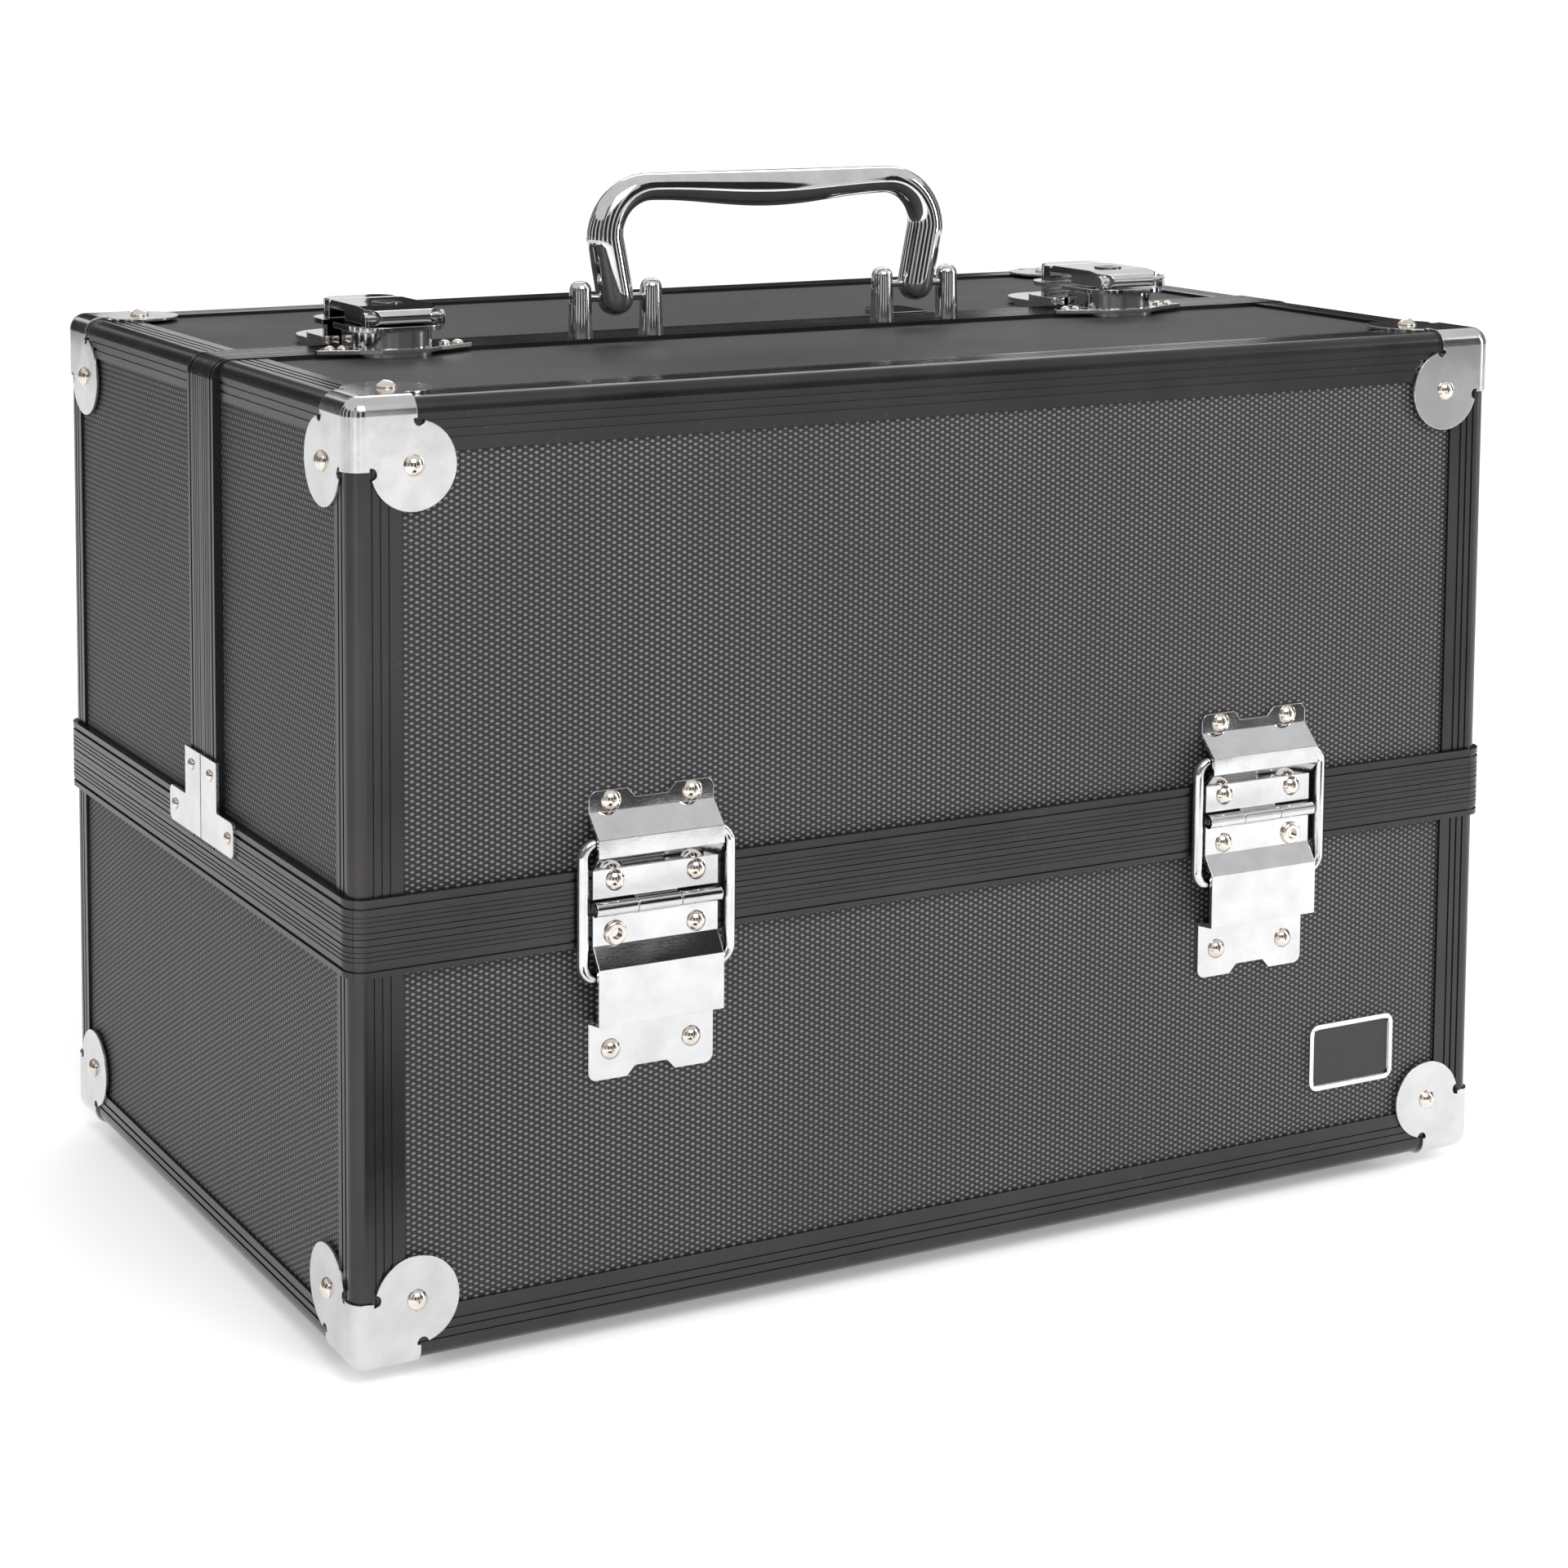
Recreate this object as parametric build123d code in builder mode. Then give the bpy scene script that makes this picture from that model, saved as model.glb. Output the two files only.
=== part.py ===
"""Makeup train case: a base box with two upper half lids that swing apart and carry fan-out trays.

Millimetres, +Z up.  The origin is on the floor under the middle of the case, the front faces -Y and
+X is to the right of somebody looking at the front.  Front pieces are drawn first and the rear ones
are their mirror images about the XZ plane, with a deeper lid.
"""

import os
from math import cos, radians, sin

from build123d import *

# ---------------------------------------------------------------- driving dimensions
CASE_WIDTH = 366.0  # over the edge extrusions, along X
CASE_DEPTH = 226.0  # along Y
CASE_HEIGHT = 250.0  # without feet and handle
FOOT_HEIGHT = 5.0
BASE_HEIGHT = 113.5  # case bottom to the seam under the lids
SEAM_OFFSET = 8.6  # the seam between the lids lies this far in front of the middle
SEAM_GAP = 0.2  # daylight between parts that swing apart
BUTT_GAP = 0.1  # hairline between extrusions that meet end to end

CORNER_RADIUS = 4.0
PANEL_THICKNESS = 4.5
EXTRUSION_SKIN = 1.0  # extrusion wings stand this far over the panels
WING_FACE = 14.0  # wing width on the front, rear, top and bottom
WING_END = 10.5  # wing width on the two ends
RIM_HEIGHT = 10.0
RIM_PROUD = 1.5
RIM_INNER_WALL = 0.8
TOP_RIM_PROUD = 0.3

HINGE_SPACING = 196.6  # between the two hinges on one side
HINGE_WIDTH = 37.0
SHEET = 1.2  # hinge and latch sheet
KNUCKLE_RADIUS = 2.0
KNUCKLE_DROP = 2.2  # knuckle axis to the face of the rim
PIN_RADIUS = 1.0
RING_WIRE_RADIUS = 1.5
RING_BAR_TOP = 17.5  # ring bars above and below the knuckle axis
RING_BAR_BOTTOM = -18.3
RING_STAND_OFF = 0.5  # ring plane behind the knuckle axis

LID_TRAVEL = 90.0  # degrees
ARM_TRAVEL = 48.0  # tray arms turn this far while a lid opens fully
FORE_PIVOT_Y = 80.0  # tray arm pivots on the end walls, from the middle
AFT_PIVOT_Y = 38.0
ARM_PIVOT_Z = 113.5
STUD_HEIGHTS = {"lower": 31.0, "middle": 71.0, "upper": 111.0}  # tray studs above the arm pivots
TRAY_BELOW_STUD = 4.0
TRAY_HEIGHT = 26.0
TRAY_WALL = 2.0
TRAY_HALF_LENGTH = 171.6
TRAY_OUTER_Y = 104.0
FRONT_TRAY_INNER_Y = 18.0
REAR_TRAY_INNER_Y = -4.0  # the rear trays reach past the middle, up to the off-centre seam
DIVIDER_THICKNESS = 1.6
DIVIDER_SPACING = 114.0

LATCH_X = 123.0
HANDLE_POST_X = (39.5, 62.5)
HANDLE_PIN_RADIUS = 1.1
HARDWARE_X = -8.0  # middle of the latches and the handle

RIVET_RADIUS = 2.8
RIVET_DOME = 1.9

# ---------------------------------------------------------------- derived dimensions
HALF_W = CASE_WIDTH / 2
HALF_D = CASE_DEPTH / 2
CASE_BOTTOM = FOOT_HEIGHT
CASE_TOP = FOOT_HEIGHT + CASE_HEIGHT
SEAM_Z = CASE_BOTTOM + BASE_HEIGHT
PANEL_X = HALF_W - EXTRUSION_SKIN  # outer faces of the panels
PANEL_Y = HALF_D - EXTRUSION_SKIN
INNER_X = PANEL_X - PANEL_THICKNESS
INNER_Y = PANEL_Y - PANEL_THICKNESS
PANEL_TOP = CASE_TOP - EXTRUSION_SKIN
PANEL_BOTTOM = CASE_BOTTOM + EXTRUSION_SKIN
INNER_TOP = PANEL_TOP - PANEL_THICKNESS
INNER_BOTTOM = PANEL_BOTTOM + PANEL_THICKNESS
RIM_X = HALF_W + RIM_PROUD
RIM_Y = HALF_D + RIM_PROUD
RIM_TOP = CASE_TOP + TOP_RIM_PROUD
RIM_WEB = 2.0  # rim material between the panel's edge and the seam
BASE_RIM_TOP = SEAM_Z - SEAM_GAP / 2
LID_RIM_BOTTOM = SEAM_Z + SEAM_GAP / 2
KNUCKLE_Y = -(RIM_Y + KNUCKLE_DROP)  # front knuckle axis
FRONT_SEAM_Y = -SEAM_OFFSET - SEAM_GAP / 2  # seam face of the front lid
REAR_SEAM_Y = SEAM_OFFSET - SEAM_GAP / 2  # seam face of the rear lid, drawn as a front one


# ---------------------------------------------------------------- helpers
def write(part, name, mirrored=False):
    """Label one node and write its STEP file; a mirrored node is turned to the rear first."""
    if mirrored:
        part = part.mirror(Plane.XZ)
    part.label = name
    export_step(part, f"parts/{name}.step")


def facing(x, y, z, normal):
    """Location at a point whose local Z axis is the given outward normal."""
    return Plane(origin=(x, y, z), z_dir=normal).location


def dome_rivet(radius, height):
    """Domed rivet head standing on its local XY plane."""
    edge = 0.3
    rise = height - edge
    ball_radius = (radius**2 + rise**2) / (2 * rise)
    with BuildPart() as head:
        with BuildSketch(Plane.XZ):
            with BuildLine():
                Line((0, 0), (radius, 0))
                Line((radius, 0), (radius, edge))
                RadiusArc((radius, edge), (0, height), -ball_radius)
                Line((0, height), (0, 0))
            make_face()
        revolve(axis=Axis.Z)
    return head.part


def eyelet_rivet():
    """Hollow rivet head with a rolled edge."""
    with BuildPart() as head:
        Cylinder(3.3, 1.2, align=(Align.CENTER, Align.CENTER, Align.MIN))
        fillet(head.edges().group_by(Axis.Z)[-1], 0.9)
        Hole(1.5)
    return head.part


def rounded_box(grow, radius):
    """The case's outer envelope, grown on every side."""
    with BuildPart() as envelope:
        with Locations((0, 0, CASE_BOTTOM - grow)):
            Box(
                CASE_WIDTH + 2 * grow,
                CASE_DEPTH + 2 * grow,
                CASE_HEIGHT + 2 * grow,
                align=(Align.CENTER, Align.CENTER, Align.MIN),
            )
        fillet(envelope.edges(), radius)
    return envelope.part


CAP_SHEET = 0.8
ENVELOPE = rounded_box(0, CORNER_RADIUS)
CAP_SHELL = rounded_box(CAP_SHEET, CORNER_RADIUS + CAP_SHEET) - ENVELOPE
RIVET = dome_rivet(RIVET_RADIUS, RIVET_DOME)
SMALL_RIVET = dome_rivet(1.7, 1.1)
EYELET = eyelet_rivet()


# ---------------------------------------------------------------- panels and extrusions
def grooved_profile(corner, wings):
    """Extrusion profile: two grooved wings over the panels and a square block between their edges.

    corner is the rounded outside corner and wings the widths along the two axes.
    """
    (u, v), (wing_u, wing_v) = corner, wings
    skin, block = EXTRUSION_SKIN, PANEL_THICKNESS
    groove_pitch, groove_width, groove_depth = 2.3, 0.8, 0.35
    with BuildSketch() as profile:
        with BuildLine():
            Polyline(
                (u - wing_u, v),
                (u, v),
                (u, v - wing_v),
                (u - skin, v - wing_v),
                (u - skin, v - skin - block),
                (u - skin - block, v - skin - block),
                (u - skin - block, v - skin),
                (u - wing_u, v - skin),
                close=True,
            )
        make_face()
        fillet(profile.vertices().sort_by_distance((u, v, 0))[0], CORNER_RADIUS)
        for index in range(3):
            inward = CORNER_RADIUS + 1.6 + index * groove_pitch
            if inward < wing_u - 1:
                with Locations((u - inward, v)):
                    Rectangle(groove_width, 2 * groove_depth, mode=Mode.SUBTRACT)
            if inward < wing_v - 1:
                with Locations((u, v - inward)):
                    Rectangle(2 * groove_depth, groove_width, mode=Mode.SUBTRACT)
    return profile.sketch


def corner_posts(z_low, z_high):
    """Two upright corner extrusions at the front, as solids on the left and the right."""
    with BuildPart() as posts:
        with BuildSketch(Plane.XY.offset(z_low)):
            add(grooved_profile((HALF_W, HALF_D), (WING_FACE, WING_END)))
        extrude(amount=z_high - z_low)
        mirror(about=Plane.XZ, mode=Mode.REPLACE)
        mirror(about=Plane.YZ)
    return posts.part


def long_edge(at_top):
    """Front extrusion along the top or bottom edge, closed into the rounded corners."""
    with BuildPart() as edge:
        with BuildSketch(Plane.YZ.offset(-HALF_W)):
            add(grooved_profile((HALF_D, CASE_HEIGHT / 2), (WING_FACE, WING_FACE)))
        extrude(amount=CASE_WIDTH)
        mirror(about=Plane.XZ, mode=Mode.REPLACE)
    placed = edge.part if at_top else edge.part.mirror(Plane.XY)
    with BuildPart() as trimmed:
        add(Pos(0, 0, CASE_BOTTOM + CASE_HEIGHT / 2) * placed)
        add(ENVELOPE, mode=Mode.INTERSECT)
    return trimmed.part


def end_edges(y_low, y_high, at_top):
    """Extrusions along the top or bottom of both ends, from y_low to y_high."""
    with BuildPart() as edges:
        with BuildSketch(Plane.XZ.offset(-y_high)):
            add(grooved_profile((HALF_W, CASE_HEIGHT / 2), (WING_FACE, WING_END)))
        extrude(amount=y_high - y_low)
        mirror(about=Plane.YZ)
    placed = edges.part if at_top else edges.part.mirror(Plane.XY)
    return Pos(0, 0, CASE_BOTTOM + CASE_HEIGHT / 2) * placed


def slab(x_size, y_range, z_range):
    """A flat panel centred on X between two Y and two Z values."""
    with BuildPart() as panel:
        with Locations((0, (y_range[0] + y_range[1]) / 2, z_range[0])):
            Box(
                x_size,
                y_range[1] - y_range[0],
                z_range[1] - z_range[0],
                align=(Align.CENTER, Align.CENTER, Align.MIN),
            )
    return panel.part


def end_panels(y_range, z_range):
    """The pair of end panels."""
    with BuildPart() as panels:
        middle_x = (PANEL_X + INNER_X) / 2
        with Locations(
            (-middle_x, sum(y_range) / 2, z_range[0]),
            (middle_x, sum(y_range) / 2, z_range[0]),
        ):
            Box(
                PANEL_THICKNESS,
                y_range[1] - y_range[0],
                z_range[1] - z_range[0],
                align=(Align.CENTER, Align.CENTER, Align.MIN),
            )
    return panels.part


# Grooves in a rim's outer face: distance from the seam to the groove, its width and its depth.
RIM_GROOVES = ((1.6, 0.5, 0.35), (3.2, 0.4, 0.25), (4.4, 0.4, 0.25), (5.6, 0.4, 0.25), (8.0, 1.0, 0.6))


def rim_frame():
    """Ribbed channel frame under the seam: its seam face is at z = 0 and it hangs down from it."""
    with BuildPart() as rim:
        with BuildSketch(Plane.XY.offset(-RIM_HEIGHT)):
            RectangleRounded(2 * RIM_X, 2 * RIM_Y, CORNER_RADIUS + RIM_PROUD)
            Rectangle(2 * (INNER_X - RIM_INNER_WALL), 2 * (INNER_Y - RIM_INNER_WALL), mode=Mode.SUBTRACT)
        extrude(amount=RIM_HEIGHT)
        with BuildSketch(Plane.XY.offset(-RIM_HEIGHT)):
            Rectangle(2 * PANEL_X, 2 * PANEL_Y)
            Rectangle(2 * INNER_X, 2 * INNER_Y, mode=Mode.SUBTRACT)
        extrude(amount=RIM_HEIGHT - RIM_WEB, mode=Mode.SUBTRACT)
        for distance, width, depth in RIM_GROOVES:
            with BuildSketch(Plane.XY.offset(-distance - width / 2)):
                Rectangle(2 * RIM_X + 4, 2 * RIM_Y + 4)
                RectangleRounded(
                    2 * (RIM_X - depth),
                    2 * (RIM_Y - depth),
                    CORNER_RADIUS + RIM_PROUD - depth,
                    mode=Mode.SUBTRACT,
                )
            extrude(amount=width, mode=Mode.SUBTRACT)
        for x_side in (-1, 1):
            for y_side in (-1, 1):
                with Locations(Location((x_side * RIM_X, y_side * RIM_Y, 0), (0, 0, 45 * x_side * y_side))):
                    Box(40, BUTT_GAP, 3 * RIM_HEIGHT, mode=Mode.SUBTRACT)
    return rim.part


def lid_rim(seam_y):
    """Lid frame: lower lengths on three sides and an arch along the seam between the lids."""
    with BuildPart() as lower:
        add(Pos(0, 0, LID_RIM_BOTTOM) * rim_frame().mirror(Plane.XY))
        with Locations((0, seam_y - RIM_HEIGHT - BUTT_GAP, LID_RIM_BOTTOM)):
            Box(
                3 * HALF_W,
                3 * HALF_D,
                4 * RIM_HEIGHT,
                align=(Align.CENTER, Align.MIN, Align.CENTER),
                mode=Mode.SUBTRACT,
            )
    with BuildPart() as arch:
        with BuildSketch(Plane.XZ.offset(-seam_y)):
            add(arch_face(RIM_X, LID_RIM_BOTTOM, RIM_TOP, CORNER_RADIUS + RIM_PROUD))
            add(arch_face(INNER_X - RIM_INNER_WALL, 0, INNER_TOP - RIM_INNER_WALL, 0.5), mode=Mode.SUBTRACT)
        extrude(amount=RIM_HEIGHT)
        with BuildSketch(Plane.XZ.offset(-seam_y + RIM_WEB)):
            add(arch_face(PANEL_X, LID_RIM_BOTTOM + RIM_WEB, PANEL_TOP, 0.5))
            add(arch_face(INNER_X, 0, INNER_TOP, 0.5), mode=Mode.SUBTRACT)
        extrude(amount=RIM_HEIGHT, mode=Mode.SUBTRACT)
        for distance, width, depth in RIM_GROOVES:
            with BuildSketch(Plane.XZ.offset(-seam_y + distance - width / 2)):
                add(arch_face(RIM_X + 2, 0, RIM_TOP + 2, 1))
                bend = CORNER_RADIUS + RIM_PROUD - depth
                add(arch_face(RIM_X - depth, 0, RIM_TOP - depth, bend), mode=Mode.SUBTRACT)
            extrude(amount=width, mode=Mode.SUBTRACT)
    with BuildPart() as frame:
        add(lower.part)
        add(arch.part)
    return frame.part


def arch_face(half_width, z_low, z_high, radius):
    """Upright rectangle with rounded top corners."""
    with BuildSketch() as outline:
        with Locations((0, z_low)):
            Rectangle(2 * half_width, z_high - z_low, align=(Align.CENTER, Align.MIN))
        fillet(outline.vertices().group_by(Axis.Y)[-1], radius)
    return outline.sketch


# ---------------------------------------------------------------- corner caps, feet and rivets
CAP_SQUARE = 18.0
CAP_DISC_RADIUS = 11.75
CAP_DISC_OFFSET = 17.0
CAP_NOTCH_RADIUS = 1.6


def cap_outline(thickness, plane, corner, inward):
    """Prism of the cap's outline on one face: a square at the corner, a disc inside and two notches."""
    (u, v), (in_u, in_v) = corner, inward
    notch_near, notch_far = 5.4, CAP_SQUARE + 0.6
    with BuildPart() as prism:
        with BuildSketch(plane):
            with Locations((u, v)):
                Rectangle(2 * CAP_SQUARE, 2 * CAP_SQUARE)
            with Locations((u + in_u * CAP_DISC_OFFSET, v + in_v * CAP_DISC_OFFSET)):
                Circle(CAP_DISC_RADIUS)
            with Locations(
                (u + in_u * notch_far, v + in_v * notch_near),
                (u + in_u * notch_near, v + in_v * notch_far),
            ):
                Circle(CAP_NOTCH_RADIUS, mode=Mode.SUBTRACT)
        extrude(amount=thickness, both=True)
    return prism.part


def corner_caps(z):
    """Sheet corner caps on the front corners at the case's top or bottom, left and right."""
    reach = 5.0
    in_z = 1 if z < CASE_TOP / 2 else -1
    with BuildPart() as caps:
        add(cap_outline(reach, Plane.XZ.offset(HALF_D), (HALF_W, z), (-1, in_z)))
        add(cap_outline(reach, Plane.YZ.offset(HALF_W), (-HALF_D, z), (1, in_z)))
        add(cap_outline(reach, Plane.XY.offset(z), (HALF_W, -HALF_D), (-1, 1)))
        add(CAP_SHELL, mode=Mode.INTERSECT)
        mirror(about=Plane.YZ)
    return caps.part


def cap_rivet_locations(z):
    """One rivet in the middle of each disc of the two front caps at height z."""
    inward = 1 if z < CASE_TOP / 2 else -1
    x, y, z_disc = HALF_W - CAP_DISC_OFFSET, HALF_D - CAP_DISC_OFFSET, z + inward * CAP_DISC_OFFSET
    spots = []
    for side in (-1, 1):
        spots.append(facing(side * x, -HALF_D - CAP_SHEET, z_disc, (0, -1, 0)))
        spots.append(facing(side * (HALF_W + CAP_SHEET), -y, z_disc, (side, 0, 0)))
        spots.append(facing(side * x, -y, z - inward * CAP_SHEET, (0, 0, -inward)))
    return spots


FOOT_INSET = 31.0


def rubber_feet():
    """Four tapered feet under the bottom panel."""
    with BuildPart() as feet:
        with GridLocations(CASE_WIDTH - 2 * FOOT_INSET, CASE_DEPTH - 2 * FOOT_INSET, 2, 2):
            Cone(5.6, 6.4, PANEL_BOTTOM, align=(Align.CENTER, Align.CENTER, Align.MIN))
        fillet(feet.edges().group_by(Axis.Z)[0], 1.0)
    return feet.part


# ---------------------------------------------------------------- front hinges, drawn about the knuckle axis
KNUCKLE_GAP = 0.25
LID_KNUCKLE = 12.6  # length of the lid's middle knuckle
PLATE_CLEAR = 2.4  # leaf plates stay this far from the other leaf's knuckles
END_RIVET_X = 12.0
MID_RIVET_Z = 7.0
UPPER_END_RIVET_Z = 27.6
LOWER_END_RIVET_Z = -39.0
END_CORNER = 2.4
UPPER_END = 30.5  # end edges of the two leaves, from the knuckle axis
LOWER_END = -47.0
PANEL_IN = KNUCKLE_DROP + RIM_PROUD + EXTRUSION_SKIN  # panel face behind the knuckle axis
CREST_IN = -1.4  # inside of the crest and of the bridge, in front of the knuckle axis


def leaf_profile(points, side):
    """Bent sheet in the YZ plane: its inner face follows the points and the sheet lies outside."""
    with BuildSketch() as profile:
        with BuildLine():
            inner = Polyline(*points)
            offset(inner, SHEET, kind=Kind.INTERSECTION, side=side)
        make_face()
    return profile.sketch


def end_notch(z_edge, toward):
    """Outline of the chamfered notch in the middle of a leaf's end edge."""
    half_width, depth, slope = 6.35, 2.6, 1.6
    with BuildSketch() as notch:
        with BuildLine():
            Polyline(
                (-half_width - slope / 2, z_edge + toward),
                (-half_width - slope / 2, z_edge),
                (-half_width + slope, z_edge - toward * depth),
                (half_width - slope, z_edge - toward * depth),
                (half_width + slope / 2, z_edge),
                (half_width + slope / 2, z_edge + toward),
                close=True,
            )
        make_face()
    return notch.sketch


def lid_leaf():
    """Upper leaf: plate on the rim, tented crest over the ring's bar and an end plate."""
    with BuildPart() as leaf:
        with BuildSketch(Plane.YZ.offset(-HINGE_WIDTH / 2)):
            bends = [
                (KNUCKLE_DROP, PLATE_CLEAR),
                (KNUCKLE_DROP, 10.5),
                (CREST_IN, 14.6),
                (CREST_IN, 18.4),
                (PANEL_IN, 24.4),
                (PANEL_IN, UPPER_END),
            ]
            add(leaf_profile(bends, Side.LEFT))
        extrude(amount=HINGE_WIDTH)
        fillet(leaf.edges().filter_by(Axis.Y).group_by(Axis.Z)[-1], END_CORNER)
        with BuildSketch(Plane.XZ):
            add(end_notch(UPPER_END, 1))
        extrude(amount=20, both=True, mode=Mode.SUBTRACT)
        with BuildSketch(Plane.YZ.offset(-LID_KNUCKLE / 2)):
            Circle(KNUCKLE_RADIUS)
            with Locations((KNUCKLE_DROP - SHEET / 2, 0)):
                Rectangle(SHEET, PLATE_CLEAR + 0.1, align=(Align.CENTER, Align.MIN))
        extrude(amount=LID_KNUCKLE)
        with BuildSketch(Plane.YZ.offset(-LID_KNUCKLE)):
            Circle(PIN_RADIUS + 0.05)
        extrude(amount=2 * LID_KNUCKLE, mode=Mode.SUBTRACT)
    return leaf.part


def base_leaf():
    """Lower leaf: two outer knuckles, plate on the rim, flat bridge over the ring and an end plate."""
    outer_knuckle = (HINGE_WIDTH - LID_KNUCKLE) / 2 - KNUCKLE_GAP
    with BuildPart() as leaf:
        with BuildSketch(Plane.YZ.offset(-HINGE_WIDTH / 2)):
            bends = [
                (KNUCKLE_DROP, -PLATE_CLEAR),
                (KNUCKLE_DROP, -10.5),
                (CREST_IN, -15.8),
                (CREST_IN, -29.6),
                (PANEL_IN, -30.4),
                (PANEL_IN, LOWER_END),
            ]
            add(leaf_profile(bends, Side.RIGHT))
        extrude(amount=HINGE_WIDTH)
        fillet(leaf.edges().filter_by(Axis.Y).group_by(Axis.Z)[0], END_CORNER)
        with BuildSketch(Plane.XZ):
            add(end_notch(LOWER_END, -1))
        extrude(amount=20, both=True, mode=Mode.SUBTRACT)
        for start in (-HINGE_WIDTH / 2, HINGE_WIDTH / 2 - outer_knuckle):
            with BuildSketch(Plane.YZ.offset(start)):
                Circle(KNUCKLE_RADIUS)
                with Locations((KNUCKLE_DROP - SHEET / 2, 0)):
                    Rectangle(SHEET, PLATE_CLEAR + 0.1, align=(Align.CENTER, Align.MAX))
                Circle(PIN_RADIUS, mode=Mode.SUBTRACT)
            extrude(amount=outer_knuckle)
    return leaf.part


def hinge_ring():
    """Rectangular wire ring that stays the lid at the end of its travel."""
    half_width, bend = 21.75, 4.0
    with BuildPart() as ring:
        with BuildLine(Plane.XZ.offset(-RING_STAND_OFF)) as path:
            FilletPolyline(
                (half_width, RING_BAR_TOP),
                (half_width, RING_BAR_BOTTOM),
                (-half_width, RING_BAR_BOTTOM),
                (-half_width, RING_BAR_TOP),
                radius=bend,
                close=True,
            )
        with BuildSketch(Plane(path.line @ 0, z_dir=path.line % 0)):
            Circle(RING_WIRE_RADIUS)
        sweep()
    return ring.part


def at_front_hinges(piece):
    """The same piece at both front hinges."""
    with BuildPart() as pair:
        with Locations((-HINGE_SPACING / 2, KNUCKLE_Y, SEAM_Z), (HINGE_SPACING / 2, KNUCKLE_Y, SEAM_Z)):
            add(piece)
    return pair.part


def hinge_rivet_locations(upper):
    """Plain rivets and eyelet spots on one half of the two front hinges."""
    rows = ((MID_RIVET_Z, RIM_Y), (UPPER_END_RIVET_Z, PANEL_Y))
    if not upper:
        rows = ((-MID_RIVET_Z, RIM_Y), (LOWER_END_RIVET_Z, PANEL_Y))
    plain, eyelets = [], []
    for hinge_side in (-1, 1):
        for rivet_side in (-1, 1):
            x = hinge_side * HINGE_SPACING / 2 + rivet_side * END_RIVET_X
            for row, (z, face) in enumerate(rows):
                spot = facing(x, -(face + SHEET), SEAM_Z + z, (0, -1, 0))
                hollow = not upper and row == 0 and hinge_side == rivet_side
                (eyelets if hollow else plain).append(spot)
    return plain, eyelets


# ---------------------------------------------------------------- seam brackets
BRACKET_SHEET = 1.0
BRACKET_WIDTH = 12.0
BRACKET_HEIGHT = 24.0
BRACKET_FOOT = 25.0
BRACKET_FOOT_HEIGHT = 10.0
BRACKET_LIFT = 1.5  # the bracket starts this far above the seam


def seam_brackets(seam_y):
    """L-shaped sheet brackets over the rim joint at the foot of the seam, on both ends."""
    low = SEAM_Z + BRACKET_LIFT
    with BuildPart() as brackets:
        with BuildSketch(Plane.YZ.offset(RIM_X)):
            with Locations((seam_y - 0.3, low)):
                Rectangle(BRACKET_WIDTH, BRACKET_HEIGHT, align=(Align.MAX, Align.MIN))
                Rectangle(BRACKET_FOOT, BRACKET_FOOT_HEIGHT, align=(Align.MAX, Align.MIN))
        extrude(amount=BRACKET_SHEET)
        rounded = brackets.edges().filter_by(Axis.X).sort_by(Axis.Y)[:2]
        fillet(rounded, 2.0)
        mirror(about=Plane.YZ)
    return brackets.part


def bracket_rivet_locations(seam_y):
    """Two rivets in each seam bracket."""
    low = SEAM_Z + BRACKET_LIFT
    spots = []
    for side in (-1, 1):
        x = side * (RIM_X + BRACKET_SHEET)
        spots.append(facing(x, seam_y - 7.3, low + BRACKET_HEIGHT - 4.6, (side, 0, 0)))
        spots.append(facing(x, seam_y - 21.0, low + BRACKET_FOOT_HEIGHT / 2, (side, 0, 0)))
    return spots


def rivet_group(plain, small=(), eyelets=()):
    """All the rivet heads of one body."""
    with BuildPart() as rivets:
        with Locations(*plain):
            add(RIVET)
        if small:
            with Locations(*small):
                add(SMALL_RIVET)
        if eyelets:
            with Locations(*eyelets):
                add(EYELET)
    return rivets.part


# ---------------------------------------------------------------- tray arms, guides and trays
STUD_RADIUS = 2.45
ARM_BORE = 2.5
ARM_WIDTH = 12.0
ARM_X = (172.6, 173.8)  # the arms' layer beside the trays
GUIDE_X = (175.0, 176.2)  # the guide plate's layer beside the arms
GUIDE_PIN_RADIUS = 2.0
GUIDE_SLOT_RADIUS = 2.25


def stud(steps):
    """Stepped stud along X: each step is (from, to, radius)."""
    with BuildPart() as turned:
        for start, end, radius in steps:
            with BuildSketch(Plane.YZ.offset(start)):
                Circle(radius)
            extrude(amount=end - start)
    return turned.part


def arm_pivot_studs():
    """Headed studs for the front tray arms on the inside of both end walls."""
    wall = INNER_X - RIM_INNER_WALL
    one = stud([(170.8, 172.4, 4.0), (172.4, 174.0, STUD_RADIUS), (174.0, wall, 4.2)])
    with BuildPart() as studs:
        with Locations((0, -FORE_PIVOT_Y, ARM_PIVOT_Z), (0, -AFT_PIVOT_Y, ARM_PIVOT_Z)):
            add(one)
        mirror(about=Plane.YZ)
    return studs.part


def tray_arms(pivot_y):
    """Pair of upright link arms with a bore at the pivot and one for each tray's stud."""
    top = STUD_HEIGHTS["upper"]
    with BuildPart() as arms:
        with BuildSketch(Plane.YZ.offset(ARM_X[0])):
            with Locations((-pivot_y, ARM_PIVOT_Z + top / 2)):
                SlotCenterToCenter(top, ARM_WIDTH, rotation=90)
            heights = [0.0, *STUD_HEIGHTS.values()]
            with Locations([(-pivot_y, ARM_PIVOT_Z + height) for height in heights]):
                Circle(ARM_BORE, mode=Mode.SUBTRACT)
        extrude(amount=ARM_X[1] - ARM_X[0])
        mirror(about=Plane.YZ)
    return arms.part


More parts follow.
